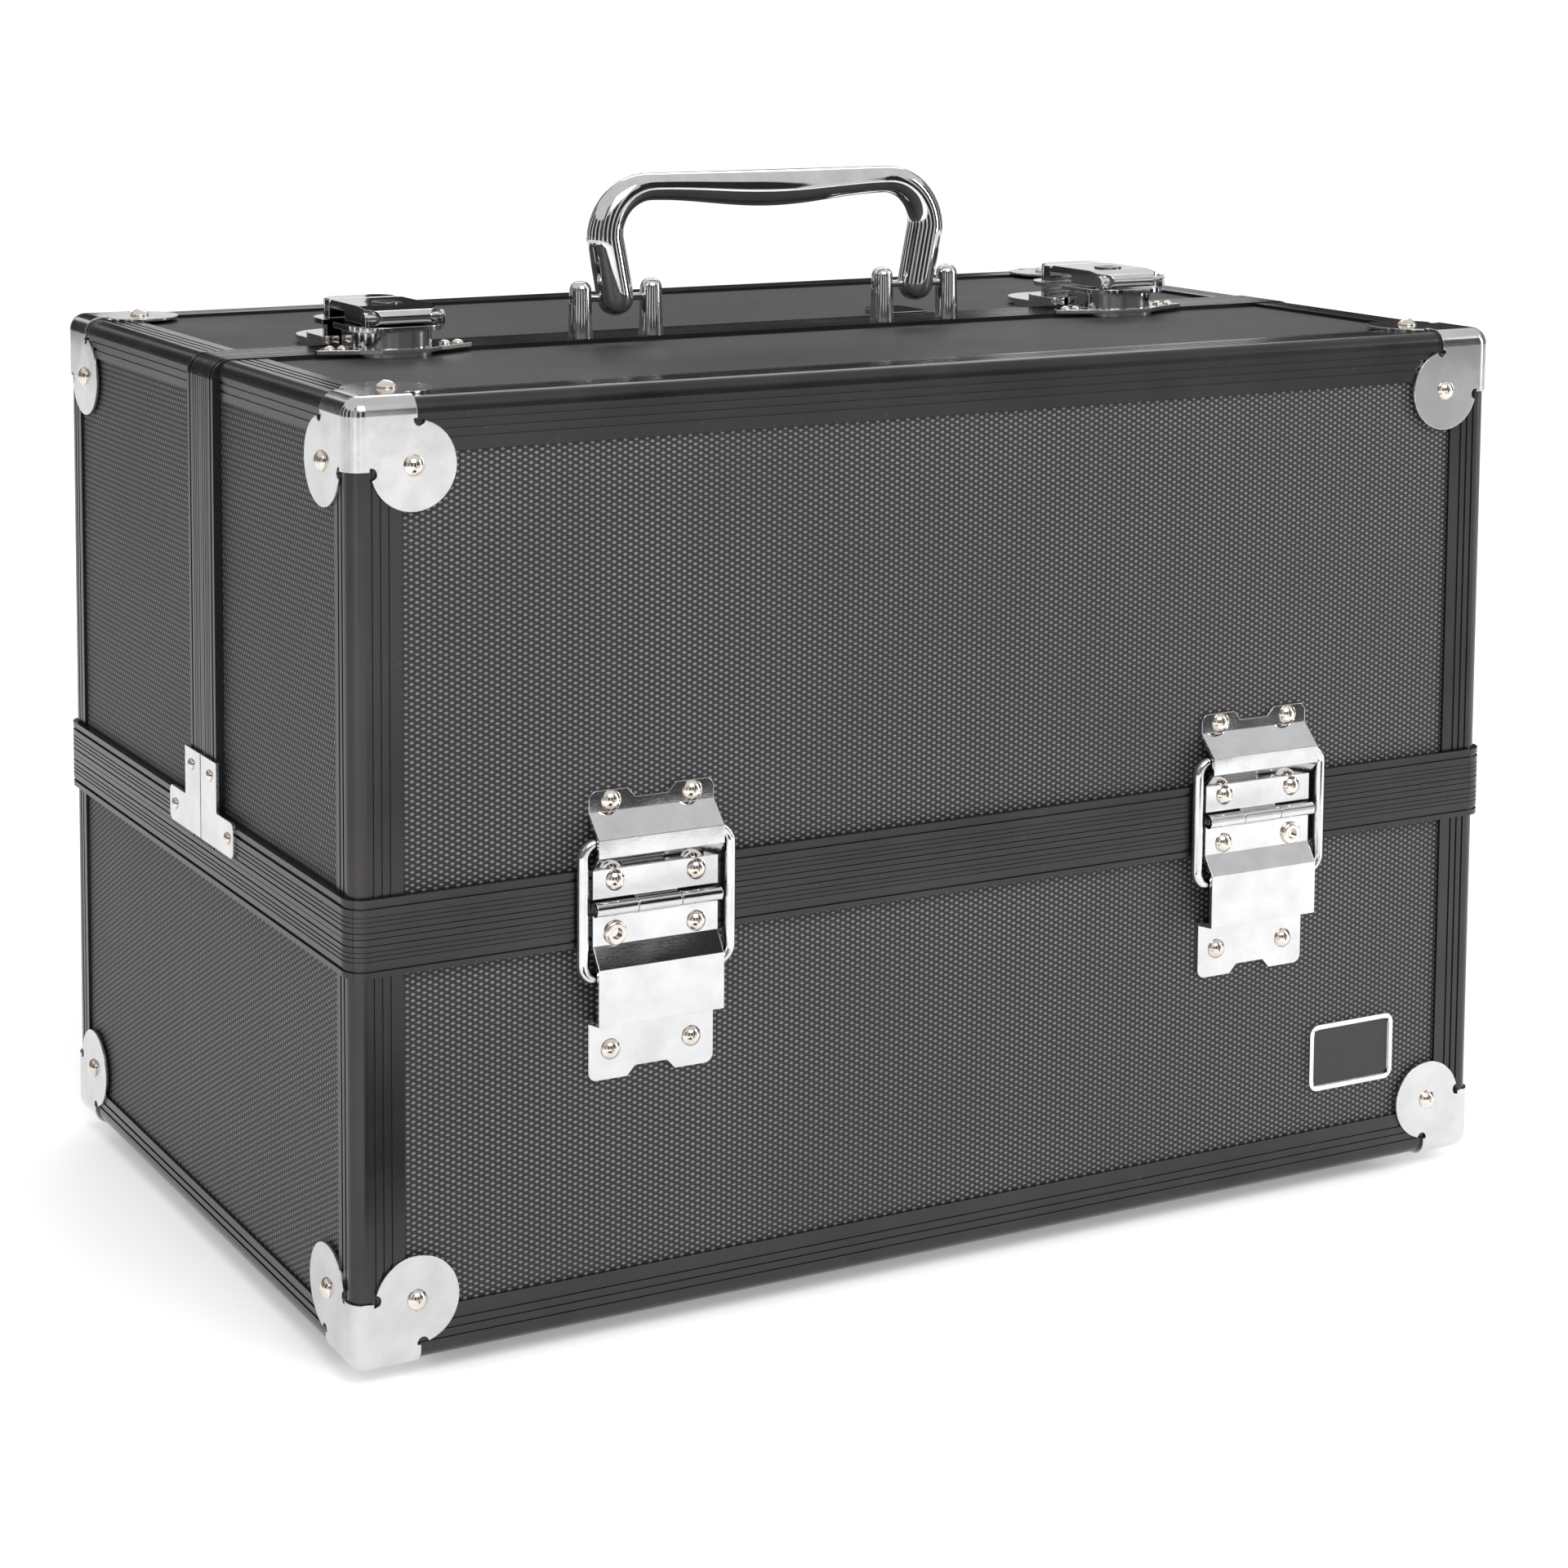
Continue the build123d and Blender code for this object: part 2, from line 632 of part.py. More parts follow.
def guide_point(share):
    """Upper tray's fore stud in the lid's own frame after this share of the lid's travel."""
    lid, arm = radians(share * LID_TRAVEL), radians(share * ARM_TRAVEL)
    reach = STUD_HEIGHTS["upper"]
    y = -FORE_PIVOT_Y - reach * sin(arm) - KNUCKLE_Y
    z = ARM_PIVOT_Z + reach * cos(arm) - SEAM_Z
    return (
        KNUCKLE_Y + y * cos(lid) + z * sin(lid),
        SEAM_Z - y * sin(lid) + z * cos(lid),
    )


def tray_guides():
    """Curved slotted plates on the lid's end walls; the upper tray's stud runs in the slot."""
    points = [guide_point(step / 8) for step in range(9)]
    plate_width = 15.0
    with BuildPart() as guides:
        with BuildSketch(Plane.YZ.offset(GUIDE_X[0])):
            with BuildLine():
                Spline(*points)
            trace(line_width=plate_width)
            with Locations(points[0], points[-1]):
                Circle(plate_width / 2)
        extrude(amount=GUIDE_X[1] - GUIDE_X[0])
        foot_spots = [(points[0][0] + 2.0, points[0][1] + 10.5), (points[-1][0] + 8.0, points[-1][1] - 7.0)]
        with BuildSketch(Plane.YZ.offset(GUIDE_X[0])):
            with Locations(foot_spots):
                Circle(5.0)
        extrude(amount=INNER_X - GUIDE_X[0])
        with BuildSketch(Plane.YZ.offset(GUIDE_X[0])):
            with BuildLine():
                Spline(*points)
            trace(line_width=2 * GUIDE_SLOT_RADIUS)
            with Locations(points[0], points[-1]):
                Circle(GUIDE_SLOT_RADIUS)
        extrude(amount=GUIDE_X[1] - GUIDE_X[0], mode=Mode.SUBTRACT)
        mirror(about=Plane.YZ)
    return guides.part


def tray(level, inner_y):
    """Open moulded tray with a pivot stud for each arm on both ends."""
    stud_z = ARM_PIVOT_Z + STUD_HEIGHTS[level]
    floor_z = stud_z - TRAY_BELOW_STUD
    depth, middle_y = TRAY_OUTER_Y - inner_y, -(TRAY_OUTER_Y + inner_y) / 2
    outer_radius = 6.0
    journal_end, head_end = ARM_X[1] + 0.15, ARM_X[1] + 0.7
    steps = [
        (TRAY_HALF_LENGTH, ARM_X[0] - 0.2, 4.0),
        (ARM_X[0] - 0.2, journal_end, STUD_RADIUS),
        (journal_end, head_end, 3.8),
    ]
    guide_steps = steps + [(head_end, GUIDE_X[1] + 0.7, GUIDE_PIN_RADIUS)]
    with BuildPart() as studs:
        for pivot_y in (FORE_PIVOT_Y, AFT_PIVOT_Y):
            guided = level == "upper" and pivot_y == FORE_PIVOT_Y
            with Locations((0, -pivot_y, stud_z)):
                add(stud(guide_steps if guided else steps))
        mirror(about=Plane.YZ)
    with BuildPart() as body:
        with BuildSketch(Plane.XY.offset(floor_z)):
            with Locations((0, middle_y)):
                RectangleRounded(2 * TRAY_HALF_LENGTH, depth, outer_radius)
        extrude(amount=TRAY_HEIGHT)
        fillet(body.edges().group_by(Axis.Z)[0], 1.5)
        with BuildSketch(Plane.XY.offset(floor_z + TRAY_WALL)):
            with Locations((0, middle_y)):
                RectangleRounded(
                    2 * (TRAY_HALF_LENGTH - TRAY_WALL), depth - 2 * TRAY_WALL, outer_radius - TRAY_WALL
                )
        extrude(amount=TRAY_HEIGHT, mode=Mode.SUBTRACT)
        add(studs.part)
    return body.part


def tray_dividers(level, inner_y):
    """Two upright partitions across a tray."""
    floor_z = ARM_PIVOT_Z + STUD_HEIGHTS[level] - TRAY_BELOW_STUD + TRAY_WALL
    depth, middle_y = TRAY_OUTER_Y - inner_y - 2 * TRAY_WALL, -(TRAY_OUTER_Y + inner_y) / 2
    with BuildPart() as dividers:
        with Locations((-DIVIDER_SPACING / 2, middle_y, floor_z), (DIVIDER_SPACING / 2, middle_y, floor_z)):
            Box(
                DIVIDER_THICKNESS,
                depth,
                TRAY_HEIGHT - TRAY_WALL - 2.0,
                align=(Align.CENTER, Align.CENTER, Align.MIN),
            )
    return dividers.part


# ---------------------------------------------------------------- handle, drawn about x = 0
HANDLE_Y = FRONT_SEAM_Y - 5.9
HANDLE_PIVOT_Z = CASE_TOP + 11.6
HANDLE_TOP = CASE_TOP + 47.5
HANDLE_THICKNESS = 10.0
LEG_X = 51.2  # middle of each leg's foot
LEG_RADIUS = 5.4


def handle_posts():
    """Four tapered domed posts on the front lid's seam rim, bored for the pins."""
    with BuildPart() as posts:
        for x in (-HANDLE_POST_X[1], -HANDLE_POST_X[0], *HANDLE_POST_X):
            with Locations((x, HANDLE_Y, RIM_TOP)):
                Cone(3.6, 3.1, 16.5, align=(Align.CENTER, Align.CENTER, Align.MIN))
        fillet(posts.edges().group_by(Axis.Z)[-1], 2.6)
        with Locations(Location((0, HANDLE_Y, HANDLE_PIVOT_Z), (0, 90, 0))):
            Cylinder(HANDLE_PIN_RADIUS, CASE_WIDTH, mode=Mode.SUBTRACT)
    return posts.part


def handle_pins():
    """Two cross pins, each through a pair of posts."""
    length = HANDLE_POST_X[1] - HANDLE_POST_X[0] + 3.0
    x = sum(HANDLE_POST_X) / 2
    with BuildPart() as pins:
        with Locations(
            Location((-x, HANDLE_Y, HANDLE_PIVOT_Z), (0, 90, 0)),
            Location((x, HANDLE_Y, HANDLE_PIVOT_Z), (0, 90, 0)),
        ):
            Cylinder(HANDLE_PIN_RADIUS, length)
    return pins.part


def handle():
    """Bail handle: splayed legs with round feet, round shoulders and a grip that swells in the middle."""
    shoulder_x, shoulder_z = 54.6, HANDLE_TOP - 18.5
    grip_x, grip_thin, grip_thick = 41.0, 7.8, 10.8
    inner_x = shoulder_x - LEG_RADIUS
    with BuildPart() as bail:
        with BuildSketch(Plane.XZ.offset(-HANDLE_Y)):
            for side in (-1, 1):
                with BuildLine():
                    outside = Polyline(
                        (side * (LEG_X - LEG_RADIUS), HANDLE_PIVOT_Z),
                        (side * (LEG_X + LEG_RADIUS), HANDLE_PIVOT_Z),
                        (side * (shoulder_x + LEG_RADIUS), shoulder_z),
                    )
                    outer_arc = TangentArc(
                        outside @ 1,
                        (side * grip_x, HANDLE_TOP),
                        tangent=(side * (shoulder_x - LEG_X), shoulder_z - HANDLE_PIVOT_Z),
                    )
                    top = Line(outer_arc @ 1, (0, HANDLE_TOP))
                    middle = Line(top @ 1, (0, HANDLE_TOP - grip_thick))
                    under = TangentArc(middle @ 1, (side * grip_x, HANDLE_TOP - grip_thin), tangent=(side, 0))
                    inner_arc = ThreePointArc(
                        under @ 1,
                        (side * (inner_x - 2.2), HANDLE_TOP - grip_thin - 2.9),
                        (side * inner_x, shoulder_z),
                    )
                    Line(inner_arc @ 1, outside @ 0)
                make_face()
                with Locations((side * LEG_X, HANDLE_PIVOT_Z)):
                    Circle(LEG_RADIUS)
        extrude(amount=HANDLE_THICKNESS / 2, both=True)
        fillet(bail.edges(), 3.0)
        with Locations(Location((0, HANDLE_Y, HANDLE_PIVOT_Z), (0, 90, 0))):
            Cylinder(HANDLE_PIN_RADIUS + 0.05, CASE_WIDTH, mode=Mode.SUBTRACT)
    return bail.part


def handle_rest_plate():
    """Small round-cornered plate on the rear lid, behind the handle's right leg."""
    with BuildPart() as plate:
        with Locations((LEG_X + 10.0, 3.5, PANEL_TOP)):
            Box(14, 18, RIM_TOP + 0.3 - PANEL_TOP, align=(Align.CENTER, Align.MIN, Align.MIN))
        fillet(plate.edges().filter_by(Axis.Z), 3.0)
    return plate.part


# ---------------------------------------------------------------- latches, drawn about x = 0
LATCH_FRONT_Y = -28.0
LATCH_REAR_Y = FRONT_SEAM_Y - 0.4
LATCH_PLATE = 1.2
FLANGE_TOP = RIM_TOP + 7.6
FLANGE_SHEET = 1.5
FLANGE_HALF_WIDTH = 14.0
BOSS_HALF_WIDTH = 11.5
LEVER_PIVOT = (-26.0, FLANGE_TOP + 2.4)
LEVER_KNUCKLE = 2.1
LEVER_HALF_WIDTH = 10.8
LEVER_TOP = CASE_TOP + 13.2
LEVER_TAIL_Y = 1.4
LEVER_EDGE = 1.2
LOCK_Y = -14.0
LOCK_RADIUS = 4.2


def plan_slab(half_width, start, end, round_front, round_rear, low, high):
    """Slab from start to end along Y whose front and rear corners are rounded in plan."""
    with BuildPart() as slab_part:
        with Locations((0, start, low)):
            Box(2 * half_width, end - start, high - low, align=(Align.CENTER, Align.MIN, Align.MIN))
        uprights = slab_part.edges().filter_by(Axis.Z)
        if round_front:
            fillet(uprights.group_by(Axis.Y)[0], round_front)
        if round_rear:
            fillet(slab_part.edges().filter_by(Axis.Z).group_by(Axis.Y)[-1], round_rear)
    return slab_part.part


def latch_base():
    """Fixed half on the front lid: eared plate, round-fronted boss, flange, two lugs and the lever's pin."""
    pivot_y, pivot_z = LEVER_PIVOT
    ear_y, ear_x = LATCH_FRONT_Y + 8.5, 23.5
    step_y = FRONT_SEAM_Y - RIM_HEIGHT - 0.2
    with BuildPart() as base:
        with BuildSketch(Plane.XY.offset(RIM_TOP)):
            with BuildLine():
                Polyline(
                    (-12.4, LATCH_FRONT_Y + 3.4),
                    (-7.0, LATCH_FRONT_Y),
                    (7.0, LATCH_FRONT_Y),
                    (12.4, LATCH_FRONT_Y + 3.4),
                    (ear_x, ear_y - 0.7),
                    (ear_x, ear_y + 0.7),
                    (14.5, LATCH_REAR_Y),
                    (-14.5, LATCH_REAR_Y),
                    (-ear_x, ear_y + 0.7),
                    (-ear_x, ear_y - 0.7),
                    close=True,
                )
            make_face()
        extrude(amount=LATCH_PLATE)
        add(plan_slab(BOSS_HALF_WIDTH, LATCH_FRONT_Y + 0.8, step_y, 8.0, 0, PANEL_TOP, RIM_TOP))
        add(plan_slab(BOSS_HALF_WIDTH, LATCH_FRONT_Y + 0.8, LATCH_REAR_Y, 9.5, 0, RIM_TOP, FLANGE_TOP - 1))
        add(
            plan_slab(
                FLANGE_HALF_WIDTH, LATCH_FRONT_Y - 1.6, LATCH_REAR_Y, 9.0, 0, FLANGE_TOP - FLANGE_SHEET, FLANGE_TOP
            )
        )
        with BuildSketch(Plane.YZ.offset(LEVER_HALF_WIDTH + 0.2)):
            with Locations((pivot_y, pivot_z)):
                Circle(1.6)
            with Locations((pivot_y, FLANGE_TOP)):
                Rectangle(3.2, pivot_z - FLANGE_TOP, align=(Align.CENTER, Align.MIN))
        extrude(amount=1.0)
        mirror(about=Plane.YZ)
        with Locations(Location((0, pivot_y, pivot_z), (0, 90, 0))):
            Cylinder(PIN_RADIUS, 2 * LEVER_HALF_WIDTH + 2.0)
    return base.part


def latch_lever():
    """Lever: knuckle on the pin, sloping front, flat top with the lock and a tail over the seam."""
    pivot_y, pivot_z = LEVER_PIVOT
    body_low, tail_low = FLANGE_TOP + 0.35, LEVER_TOP - 2.3
    with BuildPart() as lever:
        with BuildSketch(Plane.YZ.offset(-LEVER_HALF_WIDTH)):
            with Locations((pivot_y, pivot_z)):
                Circle(LEVER_KNUCKLE)
            with BuildLine():
                Polyline(
                    (pivot_y, body_low),
                    (pivot_y - LEVER_KNUCKLE, pivot_z),
                    (pivot_y - LEVER_KNUCKLE + 0.9, pivot_z + 1.9),
                    (LOCK_Y - LOCK_RADIUS - 1.6, LEVER_TOP),
                    (LEVER_TAIL_Y - LEVER_EDGE, LEVER_TOP),
                    (LEVER_TAIL_Y, LEVER_TOP - 0.9),
                    (LEVER_TAIL_Y, tail_low),
                    (FRONT_SEAM_Y - 1.0, tail_low),
                    (FRONT_SEAM_Y - 1.0, body_low),
                    close=True,
                )
            make_face()
        extrude(amount=2 * LEVER_HALF_WIDTH)
        front = pivot_y - LEVER_KNUCKLE
        with BuildSketch(Plane.XY.offset(FLANGE_TOP)):
            with BuildLine():
                Polyline(
                    (-LEVER_HALF_WIDTH, LEVER_TAIL_Y),
                    (-LEVER_HALF_WIDTH, front + 4.0),
                    (-LEVER_HALF_WIDTH + 3.4, front),
                    (LEVER_HALF_WIDTH - 3.4, front),
                    (LEVER_HALF_WIDTH, front + 4.0),
                    (LEVER_HALF_WIDTH, LEVER_TAIL_Y),
                    close=True,
                )
            make_face()
        extrude(amount=12.0, mode=Mode.INTERSECT)
        with Locations(Location((0, pivot_y, pivot_z), (0, 90, 0))):
            Cylinder(PIN_RADIUS + 0.05, 60, mode=Mode.SUBTRACT)
        with Locations((0, LOCK_Y, LEVER_TOP - 3.2)):
            Cylinder(LOCK_RADIUS, 10, align=(Align.CENTER, Align.CENTER, Align.MIN), mode=Mode.SUBTRACT)
    return lever.part


def lock_cylinder():
    """Key cylinder in the lever's top, with its key slot."""
    low, high = LEVER_TOP - 3.2, LEVER_TOP + 0.5
    with BuildPart() as lock:
        with Locations((0, LOCK_Y, low)):
            Cylinder(LOCK_RADIUS, high - low, align=(Align.CENTER, Align.CENTER, Align.MIN))
        fillet(lock.edges().group_by(Axis.Z)[-1], 0.3)
        with Locations((0, LOCK_Y, high)):
            Box(4.6, 1.1, 3.0, mode=Mode.SUBTRACT)
            Cylinder(1.0, 3.0, mode=Mode.SUBTRACT)
    return lock.part


def latch_keeper():
    """Keeper on the rear lid: round plate, low raised plate and a stepped housing that carries on the lever."""
    rim_front = -SEAM_OFFSET + SEAM_GAP / 2 + 0.4
    rim_rear = -SEAM_OFFSET + RIM_HEIGHT
    housing_front, housing_rear, disc_y, disc_radius = LEVER_TAIL_Y + 0.6, 11.0, 17.0, 14.0
    with BuildPart() as keeper:
        with BuildSketch(Plane.XY.offset(RIM_TOP)):
            with Locations((0, rim_front)):
                Rectangle(2 * disc_radius, disc_y - rim_front, align=(Align.CENTER, Align.MIN))
            with Locations((0, disc_y)):
                Circle(disc_radius)
        extrude(amount=LATCH_PLATE)
        with Locations((0, rim_rear + 0.4, PANEL_TOP)):
            Box(
                2 * disc_radius,
                disc_y - rim_rear,
                RIM_TOP - PANEL_TOP,
                align=(Align.CENTER, Align.MIN, Align.MIN),
            )
        add(plan_slab(17.0, rim_front, housing_rear, 2.0, 9.0, RIM_TOP + LATCH_PLATE, RIM_TOP + 3.6))
        add(plan_slab(BOSS_HALF_WIDTH, housing_front, housing_rear - 1, 0, 6.0, RIM_TOP, FLANGE_TOP - 1))
        add(
            plan_slab(
                FLANGE_HALF_WIDTH, -0.8, housing_rear + 2, 0, 9.0, FLANGE_TOP - FLANGE_SHEET, FLANGE_TOP
            )
        )
        with BuildPart(mode=Mode.PRIVATE) as cover:
            add(plan_slab(LEVER_HALF_WIDTH, housing_front, housing_rear, 0, 6.0, FLANGE_TOP, LEVER_TOP))
            fillet(cover.edges().group_by(Axis.Z)[-1], 0.8)
        add(cover.part)
    return keeper.part


def at_latches(piece):
    """The same piece at both latches."""
    with BuildPart() as pair:
        with Locations((HARDWARE_X - LATCH_X, 0, 0), (HARDWARE_X + LATCH_X, 0, 0)):
            add(piece)
    return pair.part


def latch_ear_rivet_locations():
    """Two small rivets in each pointed ear of the latch bases."""
    spots = []
    for latch in (HARDWARE_X - LATCH_X, HARDWARE_X + LATCH_X):
        for side in (-1, 1):
            for reach in (15.4, 19.4):
                spots.append(Location((latch + side * reach, LATCH_FRONT_Y + 8.5, RIM_TOP + LATCH_PLATE)))
    return spots


# ---------------------------------------------------------------- name plate
def name_plate():
    """Plain rounded plate with a raised border, low on the front at the right."""
    x, z, width, height, border = 137.0, 41.0, 31.0, 20.0, 1.4
    with BuildPart() as plate:
        with BuildSketch(Plane.XZ.offset(PANEL_Y)):
            with Locations((x, z)):
                RectangleRounded(width, height, 3.0)
        extrude(amount=1.2)
        with BuildSketch(Plane.XZ.offset(PANEL_Y + 0.7)):
            with Locations((x, z)):
                RectangleRounded(width - 2 * border, height - 2 * border, 2.0)
        extrude(amount=1.0, mode=Mode.SUBTRACT)
    return plate.part


def front_and_rear(front):
    """A front piece together with its mirror image at the rear."""
    with BuildPart() as both:
        add(front)
        mirror(about=Plane.XZ)
    return both.part


# ---------------------------------------------------------------- base
os.makedirs("parts", exist_ok=True)

PANEL_TO = BASE_RIM_TOP - RIM_WEB
write(slab(2 * INNER_X, (-INNER_Y, INNER_Y), (PANEL_BOTTOM, INNER_BOTTOM)), "base_bottom_panel")
front_panel = slab(2 * INNER_X, (-PANEL_Y, -INNER_Y), (INNER_BOTTOM, PANEL_TO))
write(front_panel, "base_front_panel")
write(front_panel, "base_rear_panel", mirrored=True)
write(end_panels((-INNER_Y, INNER_Y), (INNER_BOTTOM, PANEL_TO)), "base_end_panels")
write(
    front_and_rear(corner_posts(CASE_BOTTOM + WING_FACE + BUTT_GAP, BASE_RIM_TOP - RIM_HEIGHT)), "base_corner_posts"
)

with BuildPart() as base_bottom_edges:
    add(front_and_rear(long_edge(at_top=False)))
    end_reach = HALF_D - WING_FACE - BUTT_GAP
    add(end_edges(-end_reach, end_reach, at_top=False))
write(base_bottom_edges.part, "base_bottom_edges")

write(Pos(0, 0, BASE_RIM_TOP) * rim_frame(), "base_rim")
write(front_and_rear(corner_caps(CASE_BOTTOM)), "base_corner_caps")
write(rubber_feet(), "rubber_feet")
write(front_and_rear(at_front_hinges(base_leaf())), "base_hinge_leaves")
plain_spots, eyelet_spots = hinge_rivet_locations(upper=False)
base_rivets = rivet_group(cap_rivet_locations(CASE_BOTTOM) + plain_spots, eyelets=eyelet_spots)
write(front_and_rear(base_rivets), "base_rivets")

with BuildPart() as hinge_pin:
    with Locations(Location((0, 0, 0), (0, 90, 0))):
        Cylinder(PIN_RADIUS, HINGE_WIDTH)
write(front_and_rear(at_front_hinges(hinge_pin.part)), "hinge_pins")
write(front_and_rear(arm_pivot_studs()), "arm_pivot_studs")
write(name_plate(), "name_plate")

# ---------------------------------------------------------------- lids, each drawn as a front one
for lid, seam, inner_y, rear in (
    ("front", FRONT_SEAM_Y, FRONT_TRAY_INNER_Y, False),
    ("rear", REAR_SEAM_Y, REAR_TRAY_INNER_Y, True),
):
    panel_low = LID_RIM_BOTTOM + RIM_WEB
    panel_seam = seam - RIM_WEB
    edge_end = seam - RIM_HEIGHT
    write(slab(2 * INNER_X, (-PANEL_Y, -INNER_Y), (panel_low, INNER_TOP)), f"{lid}_lid_outer_panel", rear)
    write(slab(2 * INNER_X, (-INNER_Y, panel_seam), (INNER_TOP, PANEL_TOP)), f"{lid}_lid_top_panel", rear)
    write(end_panels((-INNER_Y, panel_seam), (panel_low, INNER_TOP)), f"{lid}_lid_end_panels", rear)

    with BuildPart() as lid_edges:
        add(corner_posts(LID_RIM_BOTTOM + RIM_HEIGHT, CASE_TOP - WING_FACE - BUTT_GAP))
        add(long_edge(at_top=True))
        add(end_edges(-(HALF_D - WING_FACE - BUTT_GAP), edge_end, at_top=True))
    write(lid_edges.part, f"{lid}_lid_edges", rear)

    write(lid_rim(seam), f"{lid}_lid_rim", rear)
    write(corner_caps(CASE_TOP), f"{lid}_lid_corner_caps", rear)
    write(seam_brackets(seam), f"{lid}_lid_brackets", rear)
    write(at_front_hinges(lid_leaf()), f"{lid}_lid_hinge_leaves", rear)
    write(tray_guides(), f"{lid}_lid_tray_guides", rear)
    plain_spots, _ = hinge_rivet_locations(upper=True)
    plain_spots = plain_spots + cap_rivet_locations(CASE_TOP)
    small_spots = bracket_rivet_locations(seam)
    if not rear:
        small_spots = small_spots + latch_ear_rivet_locations()
    write(rivet_group(plain_spots, small_spots), f"{lid}_lid_rivets", rear)
    write(at_front_hinges(hinge_ring()), f"{lid}_hinge_rings", rear)

    write(tray_arms(FORE_PIVOT_Y), f"{lid}_fore_arms", rear)
    write(tray_arms(AFT_PIVOT_Y), f"{lid}_aft_arms", rear)
    for level in STUD_HEIGHTS:
        write(tray(level, inner_y), f"{lid}_{level}_tray", rear)
        if level != "lower":
            write(tray_dividers(level, inner_y), f"{lid}_{level}_tray_dividers", rear)

# ---------------------------------------------------------------- handle and latches
write(Pos(HARDWARE_X, 0, 0) * handle_posts(), "handle_posts")
write(Pos(HARDWARE_X, 0, 0) * handle_pins(), "handle_pins")
write(Pos(HARDWARE_X, 0, 0) * handle(), "handle")
write(Pos(HARDWARE_X, 0, 0) * handle_rest_plate(), "handle_rest_plate")
write(at_latches(latch_base()), "latch_bases")
write(at_latches(latch_keeper()), "latch_keepers")
for side, x in (("left", HARDWARE_X - LATCH_X), ("right", HARDWARE_X + LATCH_X)):
    write(Pos(x, 0, 0) * latch_lever(), f"{side}_latch_lever")
    write(Pos(x, 0, 0) * lock_cylinder(), f"{side}_lock_cylinder")
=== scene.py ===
"""Looks of the makeup train case: camera, light, floor, materials and the handle's round bar.

Lengths are in metres, in the row frame: +Z up, the front at -Y, +X to the right along the case.
"""

import math

import bmesh
import bpy
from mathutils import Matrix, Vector


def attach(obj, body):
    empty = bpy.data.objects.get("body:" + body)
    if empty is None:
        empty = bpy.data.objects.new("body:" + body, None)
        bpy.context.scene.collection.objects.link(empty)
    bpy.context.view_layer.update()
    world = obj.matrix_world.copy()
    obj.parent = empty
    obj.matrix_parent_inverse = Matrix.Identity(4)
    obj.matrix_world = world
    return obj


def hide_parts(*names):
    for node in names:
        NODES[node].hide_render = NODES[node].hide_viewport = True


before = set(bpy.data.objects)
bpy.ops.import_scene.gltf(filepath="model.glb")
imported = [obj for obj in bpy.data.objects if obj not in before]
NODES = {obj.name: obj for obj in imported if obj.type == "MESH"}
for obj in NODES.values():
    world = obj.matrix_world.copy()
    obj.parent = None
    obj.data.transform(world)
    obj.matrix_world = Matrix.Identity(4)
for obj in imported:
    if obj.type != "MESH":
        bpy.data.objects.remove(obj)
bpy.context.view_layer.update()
MM = 0.001


def add_object(name, data):
    """New object in the scene, around a mesh, a light or a camera."""
    made = bpy.data.objects.new(name, data)
    bpy.context.scene.collection.objects.link(made)
    return made


# ---------------------------------------------------------------- camera
CAMERA_PLACE = Vector((-0.4916, -0.8644, 0.3626))
CAMERA_YAW = math.radians(27.284)  # turned from +Y towards +X
CAMERA_PITCH = math.radians(5.536)  # looking down
CAMERA_ROLL = math.radians(0.135)
FOCAL_MM = 75.74
SENSOR_MM = 36.0
CAMERA_SHIFT = (0.0956, -0.3182)

camera = add_object("camera", bpy.data.cameras.new("camera"))
camera.location = CAMERA_PLACE
camera.rotation_euler = (math.pi / 2 - CAMERA_PITCH, -CAMERA_ROLL, -CAMERA_YAW)
camera.data.lens = FOCAL_MM
camera.data.sensor_width = SENSOR_MM
camera.data.shift_x, camera.data.shift_y = CAMERA_SHIFT
bpy.context.scene.camera = camera
bpy.context.scene.view_settings.view_transform = "Standard"


